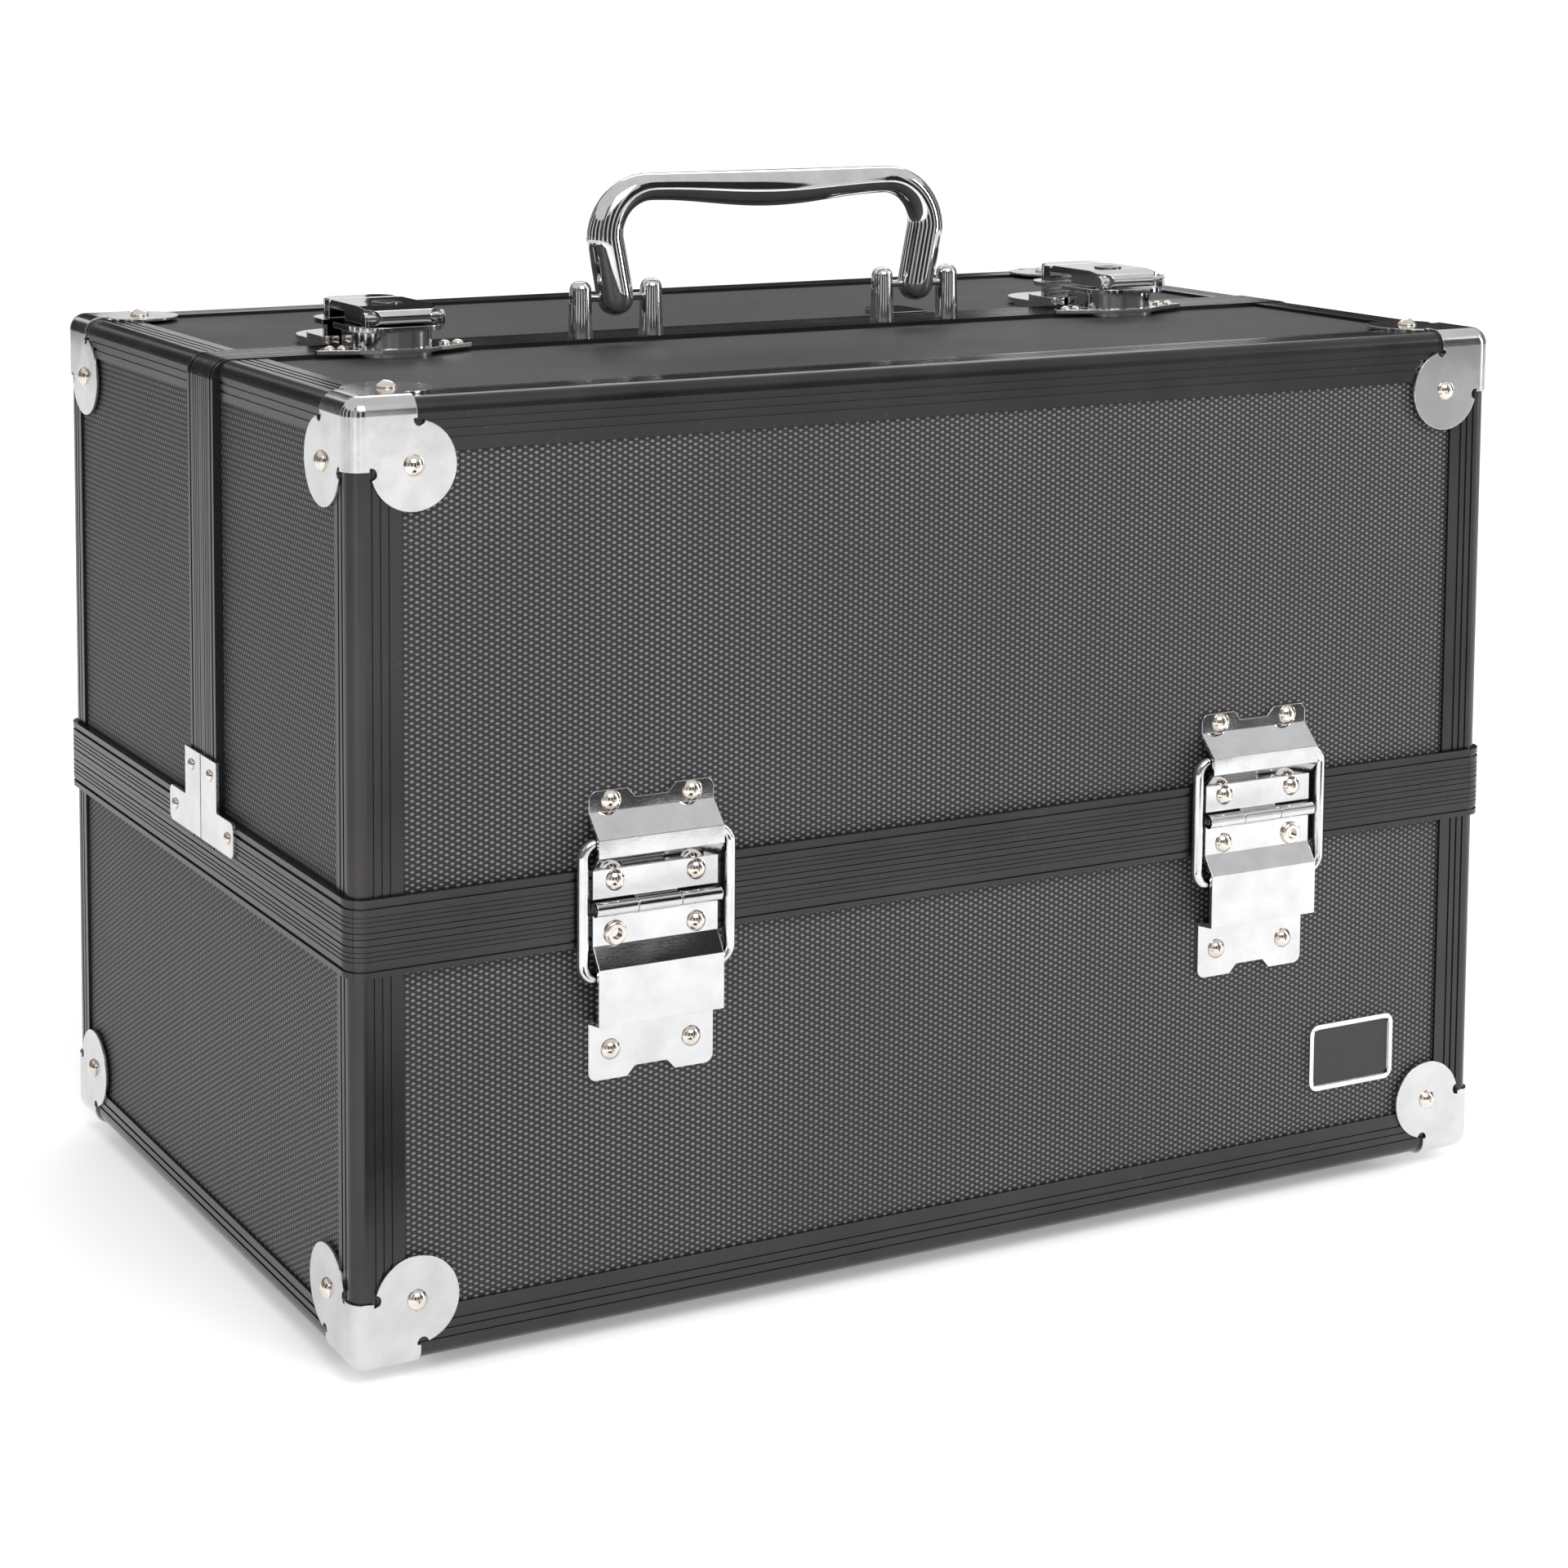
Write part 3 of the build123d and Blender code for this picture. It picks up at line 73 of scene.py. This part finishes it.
# ---------------------------------------------------------------- node helpers
class Graph:
    """Builds the nodes of one material.

    math, blend, place, scaled, noise, cells, ramp, mix, rounded and bump each return an output socket.
    """

    def __init__(self, name):
        self.material = bpy.data.materials.new(name)
        self.material.use_nodes = True
        self.nodes = self.material.node_tree.nodes
        self.links = self.material.node_tree.links
        self.shader = self.nodes["Principled BSDF"]

    def node(self, kind, **settings):
        made = self.nodes.new(kind)
        for key, value in settings.items():
            setattr(made, key, value)
        return made

    def feed(self, socket, value):
        if isinstance(value, bpy.types.NodeSocket):
            self.links.new(value, socket)
        elif value is not None:
            socket.default_value = value

    def math(self, operation, a, b=None, c=None):
        made = self.node("ShaderNodeMath", operation=operation)
        for socket, value in zip(made.inputs, (a, b, c)):
            self.feed(socket, value)
        return made.outputs[0]

    def blend(self, a, b, share):
        """The given share of a, and the rest of b."""
        return self.math("MULTIPLY_ADD", a, share, self.math("MULTIPLY", b, 1.0 - share))

    def place(self):
        """Position on the piece, in metres in the row frame at rest."""
        return self.node("ShaderNodeTexCoord").outputs["Object"]

    def axes(self, place):
        """The x, y and z of a place, as three output sockets."""
        split = self.node("ShaderNodeSeparateXYZ")
        self.feed(split.inputs[0], place)
        return split.outputs

    def scaled(self, place, scale):
        made = self.node("ShaderNodeMapping")
        self.feed(made.inputs["Vector"], place)
        made.inputs["Scale"].default_value = scale
        return made.outputs[0]

    def noise(self, place, scale, detail, roughness=0.55):
        made = self.node("ShaderNodeTexNoise")
        self.feed(made.inputs["Vector"], place)
        made.inputs["Scale"].default_value = scale
        made.inputs["Detail"].default_value = detail
        made.inputs["Roughness"].default_value = roughness
        return made.outputs["Fac"]

    def cells(self, place, scale):
        made = self.node("ShaderNodeTexVoronoi", feature="F1")
        self.feed(made.inputs["Vector"], place)
        made.inputs["Scale"].default_value = scale
        return made.outputs["Distance"]

    def ramp(self, value, low, high, to_low=0.0, to_high=1.0, smooth=False):
        """Maps low..high onto to_low..to_high."""
        kind = "SMOOTHSTEP" if smooth else "LINEAR"
        made = self.node("ShaderNodeMapRange", interpolation_type=kind)
        self.feed(made.inputs["Value"], value)
        bounds = {"From Min": low, "From Max": high, "To Min": to_low, "To Max": to_high}
        for key, bound in bounds.items():
            self.feed(made.inputs[key], bound)
        return made.outputs["Result"]

    def mix(self, share, a, b):
        """From a, at a share of 0, to b, at a share of 1. Each is a colour or a socket."""
        made = self.node("ShaderNodeMix", data_type="RGBA")
        self.feed(made.inputs["Factor"], share)
        self.feed(made.inputs["A"], a if isinstance(a, bpy.types.NodeSocket) else (*a, 1.0))
        self.feed(made.inputs["B"], b if isinstance(b, bpy.types.NodeSocket) else (*b, 1.0))
        return made.outputs["Result"]

    def rounded(self, radius):
        """Normal with the edges softened by a radius."""
        made = self.node("ShaderNodeBevel", samples=4)
        made.inputs["Radius"].default_value = radius
        return made.outputs["Normal"]

    def bump(self, height, distance, strength, normal=None):
        made = self.node("ShaderNodeBump")
        self.feed(made.inputs["Height"], height)
        made.inputs["Distance"].default_value = distance
        made.inputs["Strength"].default_value = strength
        self.feed(made.inputs["Normal"], normal)
        return made.outputs["Normal"]

    def finish(self, **inputs):
        """Feeds the shader's inputs, named in lower case with underscores, and returns the material."""
        for key, value in inputs.items():
            name = key.replace("_", " ").title().replace("Ior", "IOR")
            if isinstance(value, tuple) and len(value) == 3:
                value = (*value, 1.0)
            self.feed(self.shader.inputs[name], value)
        return self.material


# ---------------------------------------------------------------- materials
DOT_COLUMN = 1.59 * MM  # spacing of the embossed dots' columns
DOT_STEP = 1.67 * MM  # spacing of the dots within a column
DOT_HALF_ACROSS = 0.46  # half a dot's width, as a share of a column's spacing
DOT_HALF_ALONG = 0.30  # half a dot's length, as a share of a step
COLUMNS_ADDED = 2000.0  # an even number that keeps the columns' numbers above zero
LINING_X = 179.5 * MM  # panels show their lining nearer to the case's middle than these
LINING_Y = 109.5 * MM
LINING_Z = 251.5 * MM  # a lid's top panel shows its lining below this height
EDGE_PLATED = 0.35 * MM  # radius that softens the edges of plated pieces
EDGE_MOULDED = 0.5 * MM
PLATE_MIDDLE = (0.137, 0.041)  # x and z of the name plate's middle
PLATE_FIELD = (0.0139, 0.0084)  # half width and half height of its black field

# painted shade in the gaps between the embossed dots, and a painted highlight on the dots' tops
SKIN_GAP_PAINTED_SHADE = (0.011, 0.0105, 0.011)
SKIN_DOT_PAINTED_HIGHLIGHT = (0.172, 0.164, 0.172)
TOP_DARK = (0.022, 0.020, 0.021)
TOP_LIGHT = (0.044, 0.041, 0.042)
LINING_DARK = (0.016, 0.016, 0.018)
LINING_LIGHT = (0.045, 0.045, 0.050)
ANODISED_DARK = (0.034, 0.033, 0.033)
ANODISED_LIGHT = (0.062, 0.058, 0.060)
ANODISED_WORN = (0.13, 0.122, 0.120)
BORDER_DARK = (0.62, 0.62, 0.63)
BORDER_LIGHT = (0.78, 0.78, 0.79)
FIELD_DARK = (0.010, 0.010, 0.011)
FIELD_LIGHT = (0.020, 0.020, 0.021)
RUBBER_CLEAN = (0.010, 0.010, 0.010)
RUBBER_DUSTY = (0.040, 0.039, 0.037)


def embossed(name, across, along, inner_axis, inner_limit):
    """Charcoal skin with staggered raised dots outside, and a fine-grained lining inside. The dots' tops
    are painted lighter as a painted highlight, and the gaps between them darker as painted shade.

    across and along are the axes that the dots' columns step along and run along. The lining shows
    where the place on inner_axis is nearer to the middle than inner_limit.
    """
    g = Graph(name)
    place = g.place()
    axes = g.axes(place)
    column = g.math("DIVIDE", axes[across], DOT_COLUMN)
    index = g.math("FLOOR", column)
    shift = g.math("MULTIPLY", g.math("MODULO", g.math("ADD", index, COLUMNS_ADDED), 2.0), 0.5)
    off_column = g.math("SUBTRACT", g.math("FRACT", column), 0.5)
    step = g.math("ADD", g.math("DIVIDE", axes[along], DOT_STEP), shift)
    off_step = g.math("SUBTRACT", g.math("FRACT", step), 0.5)
    far_across = g.math("POWER", g.math("DIVIDE", off_column, DOT_HALF_ACROSS), 2.0)
    far_along = g.math("POWER", g.math("DIVIDE", off_step, DOT_HALF_ALONG), 2.0)
    dot = g.ramp(g.math("ADD", far_across, far_along), 0.0, 1.0, 1.0, 0.0, smooth=True)
    cloud = g.noise(place, 14.0, 2.0)
    grain = g.noise(place, 2600.0, 2.0)
    wear = g.ramp(cloud, 0.3, 0.7, 0.82, 1.12)
    # the dots' tops get a painted highlight and the gaps between them painted shade, varied by a random
    # cloud
    skin = g.mix(g.math("MULTIPLY", dot, wear), SKIN_GAP_PAINTED_SHADE, SKIN_DOT_PAINTED_HIGHLIGHT)
    inside = g.math("LESS_THAN", g.math("ABSOLUTE", axes[inner_axis]), inner_limit)
    lining_grain = g.cells(place, 900.0)
    lining = g.mix(lining_grain, LINING_DARK, LINING_LIGHT)
    colour = g.mix(inside, skin, lining)
    rise = g.math("ADD", dot, g.math("MULTIPLY", grain, 0.12))
    height = g.math("MULTIPLY", rise, g.math("SUBTRACT", 1.0, inside))
    soft = g.math("MULTIPLY", g.math("MULTIPLY", lining_grain, 0.8), inside)
    rough = g.ramp(g.math("ADD", dot, inside), 0.0, 1.0, 0.62, 0.44)
    normal = g.bump(g.math("ADD", height, soft), 0.22 * MM, 0.9)
    return g.finish(base_color=colour, roughness=rough, normal=normal)


def plain_skin(name):
    """Fine-grained plain skin of the lids' top panels, with the lining below it."""
    g = Graph(name)
    place = g.place()
    grain = g.cells(place, 1500.0)
    cloud = g.noise(place, 18.0, 3.0)
    inside = g.math("LESS_THAN", g.axes(place)[2], LINING_Z)
    skin = g.mix(g.ramp(g.blend(grain, cloud, 0.5), 0.2, 0.7), TOP_DARK, TOP_LIGHT)
    lining = g.mix(grain, LINING_DARK, LINING_LIGHT)
    colour = g.mix(inside, skin, lining)
    rough = g.ramp(cloud, 0.3, 0.7, 0.50, 0.62)
    normal = g.bump(grain, 0.10 * MM, 0.5)
    return g.finish(base_color=colour, roughness=rough, normal=normal, specular_ior_level=0.22)


def anodised(name):
    """Black anodised aluminium with a very fine grain and a little wear."""
    g = Graph(name)
    place = g.place()
    cloud = g.noise(place, 35.0, 3.0)
    grain = g.noise(g.scaled(place, (60.0, 60.0, 60.0)), 60.0, 4.0, 0.7)
    specks = g.noise(place, 420.0, 2.0)
    worn = g.ramp(specks, 0.70, 0.80, 0.0, 0.35)
    tone = g.mix(cloud, ANODISED_DARK, ANODISED_LIGHT)
    colour = g.mix(worn, tone, ANODISED_WORN)
    rough = g.ramp(g.blend(grain, cloud, 0.5), 0.3, 0.7, 0.17, 0.30)
    normal = g.bump(grain, 0.02 * MM, 0.35)
    return g.finish(base_color=colour, metallic=0.85, roughness=rough, normal=normal)


def plated(name, tint, rough_low, rough_high):
    """Bright plating: softened edges, slight waviness of the sheet and fine handling marks."""
    g = Graph(name)
    place = g.place()
    wave = g.noise(place, 60.0, 1.0)
    marks = g.noise(g.scaled(place, (1.0, 1.0, 9.0)), 500.0, 4.0, 0.75)
    cloud = g.noise(place, 110.0, 4.0)
    rough = g.ramp(g.blend(marks, cloud, 0.6), 0.35, 0.68, rough_low, rough_high)
    dull = tuple(0.86 * part for part in tint)
    colour = g.mix(g.ramp(cloud, 0.35, 0.7), tint, dull)
    normal = g.bump(wave, 0.25 * MM, 0.30, g.rounded(EDGE_PLATED))
    normal = g.bump(marks, 0.006 * MM, 0.4, normal)
    return g.finish(base_color=colour, metallic=1.0, roughness=rough, normal=normal)


def badge(name):
    """Name plate: a black lacquered field inside a silver border."""
    g = Graph(name)
    place = g.place()
    axes = g.axes(place)
    across = g.math("ABSOLUTE", g.math("SUBTRACT", axes[0], PLATE_MIDDLE[0]))
    up = g.math("ABSOLUTE", g.math("SUBTRACT", axes[2], PLATE_MIDDLE[1]))
    in_width = g.math("LESS_THAN", across, PLATE_FIELD[0])
    in_height = g.math("LESS_THAN", up, PLATE_FIELD[1])
    within = g.math("MULTIPLY", in_width, in_height)
    cloud = g.noise(place, 300.0, 3.0)
    border = g.mix(cloud, BORDER_DARK, BORDER_LIGHT)
    field = g.mix(cloud, FIELD_DARK, FIELD_LIGHT)
    colour = g.mix(within, border, field)
    metallic = g.math("SUBTRACT", 1.0, within)
    rough = g.ramp(g.math("ADD", cloud, within), 0.3, 1.7, 0.22, 0.40)
    normal = g.bump(cloud, 0.02 * MM, 0.4)
    return g.finish(base_color=colour, metallic=metallic, roughness=rough, normal=normal)


def rubber(name):
    """Black rubber with a fine grain and patches of dust."""
    g = Graph(name)
    place = g.place()
    grain = g.noise(place, 1800.0, 3.0)
    dust = g.noise(place, 160.0, 4.0)
    colour = g.mix(g.ramp(dust, 0.45, 0.8), RUBBER_CLEAN, RUBBER_DUSTY)
    rough = g.ramp(dust, 0.3, 0.7, 0.62, 0.85)
    return g.finish(base_color=colour, roughness=rough, normal=g.bump(grain, 0.08 * MM, 0.5))


def moulded(name, dark, light, grain_scale):
    """Moulded tray plastic with a leather-like grain and light rubbing."""
    g = Graph(name)
    place = g.place()
    grain = g.cells(place, grain_scale)
    cloud = g.noise(place, 45.0, 4.0)
    colour = g.mix(g.ramp(cloud, 0.35, 0.7), dark, light)
    rough = g.ramp(g.math("ADD", grain, cloud), 0.4, 1.3, 0.30, 0.50)
    normal = g.bump(grain, 0.10 * MM, 0.35, g.rounded(EDGE_MOULDED))
    return g.finish(base_color=colour, roughness=rough, normal=normal, coat_weight=0.15, coat_roughness=0.2)


shell_front = embossed("shell_skin_front", 0, 2, 1, LINING_Y)
shell_base_end = embossed("shell_skin_base_end", 1, 2, 0, LINING_X)
shell_lid_end = embossed("shell_skin_lid_end", 2, 1, 0, LINING_X)
black_aluminium = anodised("black_anodised_aluminium")
chrome = plated("chrome_plate", (0.67, 0.67, 0.68), 0.03, 0.08)
nickel = plated("nickel_rivets", (0.78, 0.71, 0.64), 0.10, 0.18)
satin = plated("satin_chrome_plate", (0.62, 0.62, 0.625), 0.10, 0.20)
zinc = plated("bright_zinc_steel", (0.66, 0.67, 0.68), 0.22, 0.36)
dark_chrome = plated("lock_cylinder_plate", (0.16, 0.16, 0.165), 0.12, 0.24)
foot_rubber = rubber("foot_rubber")
tray_plastic = moulded("tray_plastic", (0.012, 0.012, 0.013), (0.026, 0.026, 0.028), 1400.0)
divider_plastic = moulded("divider_plastic", (0.020, 0.020, 0.021), (0.034, 0.034, 0.036), 1900.0)
shell_top = plain_skin("shell_skin_top")
plate_finish = badge("name_plate_finish")
base_floor = moulded("base_floor_board", (0.012, 0.012, 0.013), (0.022, 0.022, 0.024), 900.0)


def finish_of(node):
    """The material of a CAD node, by the kind of piece its name says."""
    if node == "base_bottom_panel":
        return base_floor
    if node == "base_end_panels":
        return shell_base_end
    if node.endswith("_lid_end_panels"):
        return shell_lid_end
    if node.endswith("_top_panel"):
        return shell_top
    if node.endswith("_panel"):
        return shell_front
    if node.endswith(("_posts", "_edges", "_rim")) and node != "handle_posts":
        return black_aluminium
    if node == "rubber_feet":
        return foot_rubber
    if node.endswith("_dividers"):
        return divider_plastic
    if node.endswith("_tray"):
        return tray_plastic
    if node.endswith(("_arms", "_guides", "_studs", "_pins")) and node != "handle_pins":
        return zinc
    if node == "name_plate":
        return plate_finish
    if node.endswith("_lock_cylinder"):
        return dark_chrome
    if node.endswith("_rivets"):
        return nickel
    if node.endswith("_caps"):
        return satin
    return chrome


for name, node in NODES.items():
    node.data.materials.clear()
    node.data.materials.append(finish_of(name))


# ---------------------------------------------------------------- handle
HANDLE_MIDDLE = Vector((-8.0 * MM, -14.6 * MM, 0.0))
HANDLE_PIVOT = 266.6 * MM
HANDLE_CREST = 302.5 * MM
FOOT_X = 51.2 * MM  # from the handle's middle
SHOULDER_X = 54.6 * MM
LEG_THICK = 5.4 * MM  # radius of a leg
GRIP_THIN = 4.0 * MM  # radius of the grip at its ends
GRIP_THICK = 5.4 * MM  # radius of the grip in its middle
BEND = 14.5 * MM  # radius of the bend at the shoulder, along the middle of the bar
AROUND = 28  # points around the bar
FOOT_STEPS = 8  # rings over a quarter turn of a foot, and steps along each stretch of the line
LEG_STEPS = 8
BEND_STEPS = 12
GRIP_STEPS = 16


def handle_line():
    """Stations from the left foot to the right one: place of the bar's middle, and its radius."""
    stations = []
    bend_x = SHOULDER_X - BEND
    bend_z = HANDLE_CREST - GRIP_THIN - BEND
    for step in range(LEG_STEPS + 1):
        share = step / LEG_STEPS
        x = FOOT_X + (SHOULDER_X - FOOT_X) * share
        z = HANDLE_PIVOT + (bend_z - HANDLE_PIVOT) * share
        stations.append((x, z, LEG_THICK))
    for step in range(1, BEND_STEPS + 1):
        turn = math.pi / 2 * step / BEND_STEPS
        radius = LEG_THICK + (GRIP_THIN - LEG_THICK) * step / BEND_STEPS
        stations.append((bend_x + BEND * math.cos(turn), bend_z + BEND * math.sin(turn), radius))
    for step in range(1, GRIP_STEPS + 1):
        share = step / GRIP_STEPS
        swell = 0.5 - 0.5 * math.cos(math.pi * share)
        radius = GRIP_THIN + (GRIP_THICK - GRIP_THIN) * swell
        stations.append((bend_x * (1 - share), HANDLE_CREST - radius, radius))
    left_half = [(-x, z, radius) for x, z, radius in stations]
    return left_half + stations[-2::-1]


def bar_ring(mesh, place, ahead, radius):
    """One ring of points around the bar, where its line points ahead."""
    side = Vector((0.0, 1.0, 0.0))
    up = ahead.cross(side).normalized()
    points = []
    for step in range(AROUND):
        turn = 2 * math.pi * step / AROUND
        points.append(mesh.verts.new(place + radius * (math.cos(turn) * up + math.sin(turn) * side)))
    return points


def handle_bar():
    """Round bar along the handle's line, with hemispherical feet."""
    line = handle_line()
    mesh = bmesh.new()
    rings = []
    middles = [HANDLE_MIDDLE + Vector((x, 0.0, z)) for x, z, _ in line]
    foot_turns = [math.pi / 2 * step / FOOT_STEPS for step in range(1, FOOT_STEPS)]
    ahead = (middles[1] - middles[0]).normalized()
    for turn in foot_turns:
        place = middles[0] - LEG_THICK * math.cos(turn) * ahead
        rings.append(bar_ring(mesh, place, ahead, LEG_THICK * math.sin(turn)))
    for index, (_, _, radius) in enumerate(line):
        before = middles[max(index - 1, 0)]
        after = middles[min(index + 1, len(line) - 1)]
        rings.append(bar_ring(mesh, middles[index], (after - before).normalized(), radius))
    ahead = (middles[-1] - middles[-2]).normalized()
    for turn in reversed(foot_turns):
        place = middles[-1] + LEG_THICK * math.cos(turn) * ahead
        rings.append(bar_ring(mesh, place, ahead, LEG_THICK * math.sin(turn)))
    for first, second in zip(rings, rings[1:]):
        for step in range(AROUND):
            following = (step + 1) % AROUND
            mesh.faces.new((first[step], first[following], second[following], second[step]))
    mesh.faces.new(list(reversed(rings[0])))
    mesh.faces.new(rings[-1])
    bmesh.ops.recalc_face_normals(mesh, faces=mesh.faces)
    for face in mesh.faces:
        face.smooth = True
    data = bpy.data.meshes.new("handle_bar")
    mesh.to_mesh(data)
    mesh.free()
    bar = add_object("handle_bar", data)
    bar.data.materials.append(chrome)
    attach(bar, "handle")
    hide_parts("handle")


handle_bar()


# ---------------------------------------------------------------- stage and light
WHITE = (1.0, 1.0, 1.0)
WORLD_STRENGTH = 0.82
FLOOR_REACH = 8.0  # from the middle to each side
FLOOR_GLOW = 0.26
BACKDROP_SIDES = 48
BACKDROP_RADIUS = 7.5
BACKDROP_HEIGHTS = (-0.05, 6.0)
FLAG_SIDES = 14  # dark cards standing in a ring around the case
FLAG_RADIUS = 1.5
FLAG_HEIGHTS = (0.10, 0.95)
FLAG_PARTS = (0.10, 0.80)  # where a card starts and ends, as shares of its step around the ring
FLAG_SHADES_X = -0.9  # cards that start further left than this also shade the case
HANDLE_FLAG_HEIGHTS = (0.30, 1.1)
FLOOR_FLAG_HEIGHT = 0.004
FLOOR_FLAGS = (  # dark cards lying on the floor: lowest and highest x, lowest and highest y
    (0.02, 0.75, -0.760, -0.572),
    (-0.05, 0.60, -0.487, -0.480),
    (-0.20, -0.075, -0.420, -0.220),
    (1.05, 1.34, -1.850, -1.200),
)


def lay_floor():
    """Pale floor with a slight glow of its own."""
    mesh = bpy.data.meshes.new("floor")
    build = bmesh.new()
    bmesh.ops.create_grid(build, x_segments=2, y_segments=2, size=FLOOR_REACH)
    build.to_mesh(mesh)
    build.free()
    floor = add_object("floor", mesh)
    look = Graph("pale_floor")
    tone = look.noise(look.place(), 3.0, 2.0)
    colour = look.mix(tone, (0.92, 0.92, 0.92), (0.94, 0.94, 0.94))
    floor.data.materials.append(
        look.finish(base_color=colour, roughness=0.7, emission_color=WHITE, emission_strength=FLOOR_GLOW)
    )


def hang_backdrop():
    """Round white wall that only the camera sees."""
    corners = []
    for height in BACKDROP_HEIGHTS:
        for step in range(BACKDROP_SIDES):
            turn = 2 * math.pi * step / BACKDROP_SIDES
            corners.append((BACKDROP_RADIUS * math.cos(turn), BACKDROP_RADIUS * math.sin(turn), height))
    walls = []
    for step in range(BACKDROP_SIDES):
        following = (step + 1) % BACKDROP_SIDES
        walls.append((step, following, following + BACKDROP_SIDES, step + BACKDROP_SIDES))
    mesh = bpy.data.meshes.new("backdrop")
    mesh.from_pydata(corners, [], walls)
    backdrop = add_object("backdrop", mesh)
    look = Graph("white_backdrop")
    backdrop.data.materials.append(
        look.finish(base_color=(0.9, 0.9, 0.9), emission_color=WHITE, emission_strength=1.0, roughness=0.9)
    )
    backdrop.visible_diffuse = False
    backdrop.visible_glossy = False
    backdrop.visible_shadow = False


def light_world():
    """Even white light from all around."""
    world = bpy.data.worlds.new("studio")
    bpy.context.scene.world = world
    world.use_nodes = True
    background = world.node_tree.nodes["Background"]
    background.inputs["Color"].default_value = (*WHITE, 1.0)
    background.inputs["Strength"].default_value = WORLD_STRENGTH


def soft_box(name, place, target, width, height, power):
    """Rectangular lamp at a place, aimed at a target."""
    lamp = bpy.data.lights.new(name, "AREA")
    lamp.shape = "RECTANGLE"
    lamp.size, lamp.size_y, lamp.energy = width, height, power
    holder = add_object(name, lamp)
    holder.location = place
    aim = Vector(target) - Vector(place)
    holder.rotation_euler = aim.to_track_quat("-Z", "Y").to_euler()


def dark_card(name, corners, shades=False):
    """Studio flag that only shows in reflections, or that also shades the object."""
    mesh = bpy.data.meshes.new(name)
    mesh.from_pydata(corners, [], [(0, 1, 2, 3)])
    card = add_object(name, mesh)
    look = Graph(name + "_cloth")
    weave = look.noise(look.place(), 40.0, 3.0)
    cloth = look.mix(weave, (0.008, 0.008, 0.008), (0.018, 0.017, 0.017))
    card.data.materials.append(look.finish(base_color=cloth, roughness=0.95))
    card.visible_camera = False
    card.visible_diffuse = shades
    card.visible_shadow = False
    card.visible_transmission = False


def upright_card(name, start, end, heights, shades=False):
    """Dark card standing over the line from start to end in plan."""
    low, high = heights
    dark_card(name, [(*start, low), (*end, low), (*end, high), (*start, high)], shades)


lay_floor()
hang_backdrop()
light_world()

soft_box("key_light", (-0.2, -1.6, 1.7), (0.0, 0.0, 0.12), 1.2, 0.9, 21.0)
soft_box("back_light", (0.9, 1.5, 1.6), (0.0, 0.0, 0.2), 1.4, 0.8, 7.0)
soft_box("strip_left", (-1.1, -1.0, 0.55), (0.0, 0.0, 0.2), 0.10, 0.9, 5.0)
soft_box("strip_right", (1.2, -0.7, 0.55), (0.0, 0.0, 0.2), 0.10, 0.9, 5.0)

for step in range(FLAG_SIDES):
    turns = [2 * math.pi * (step + part) / FLAG_SIDES for part in FLAG_PARTS]
    start, end = [(FLAG_RADIUS * math.cos(turn), FLAG_RADIUS * math.sin(turn)) for turn in turns]
    upright_card(f"flag_{step}", start, end, FLAG_HEIGHTS, shades=start[0] < FLAG_SHADES_X)
for step, (left, right, near, far) in enumerate(FLOOR_FLAGS):
    plan = ((left, near), (right, near), (right, far), (left, far))
    dark_card(f"floor_flag_{step}", [(x, y, FLOOR_FLAG_HEIGHT) for x, y in plan])
upright_card("handle_flag_left", (-0.75, -0.60), (-0.62, -0.70), HANDLE_FLAG_HEIGHTS)
upright_card("handle_flag_right", (0.42, -1.0), (0.62, -0.9), HANDLE_FLAG_HEIGHTS)
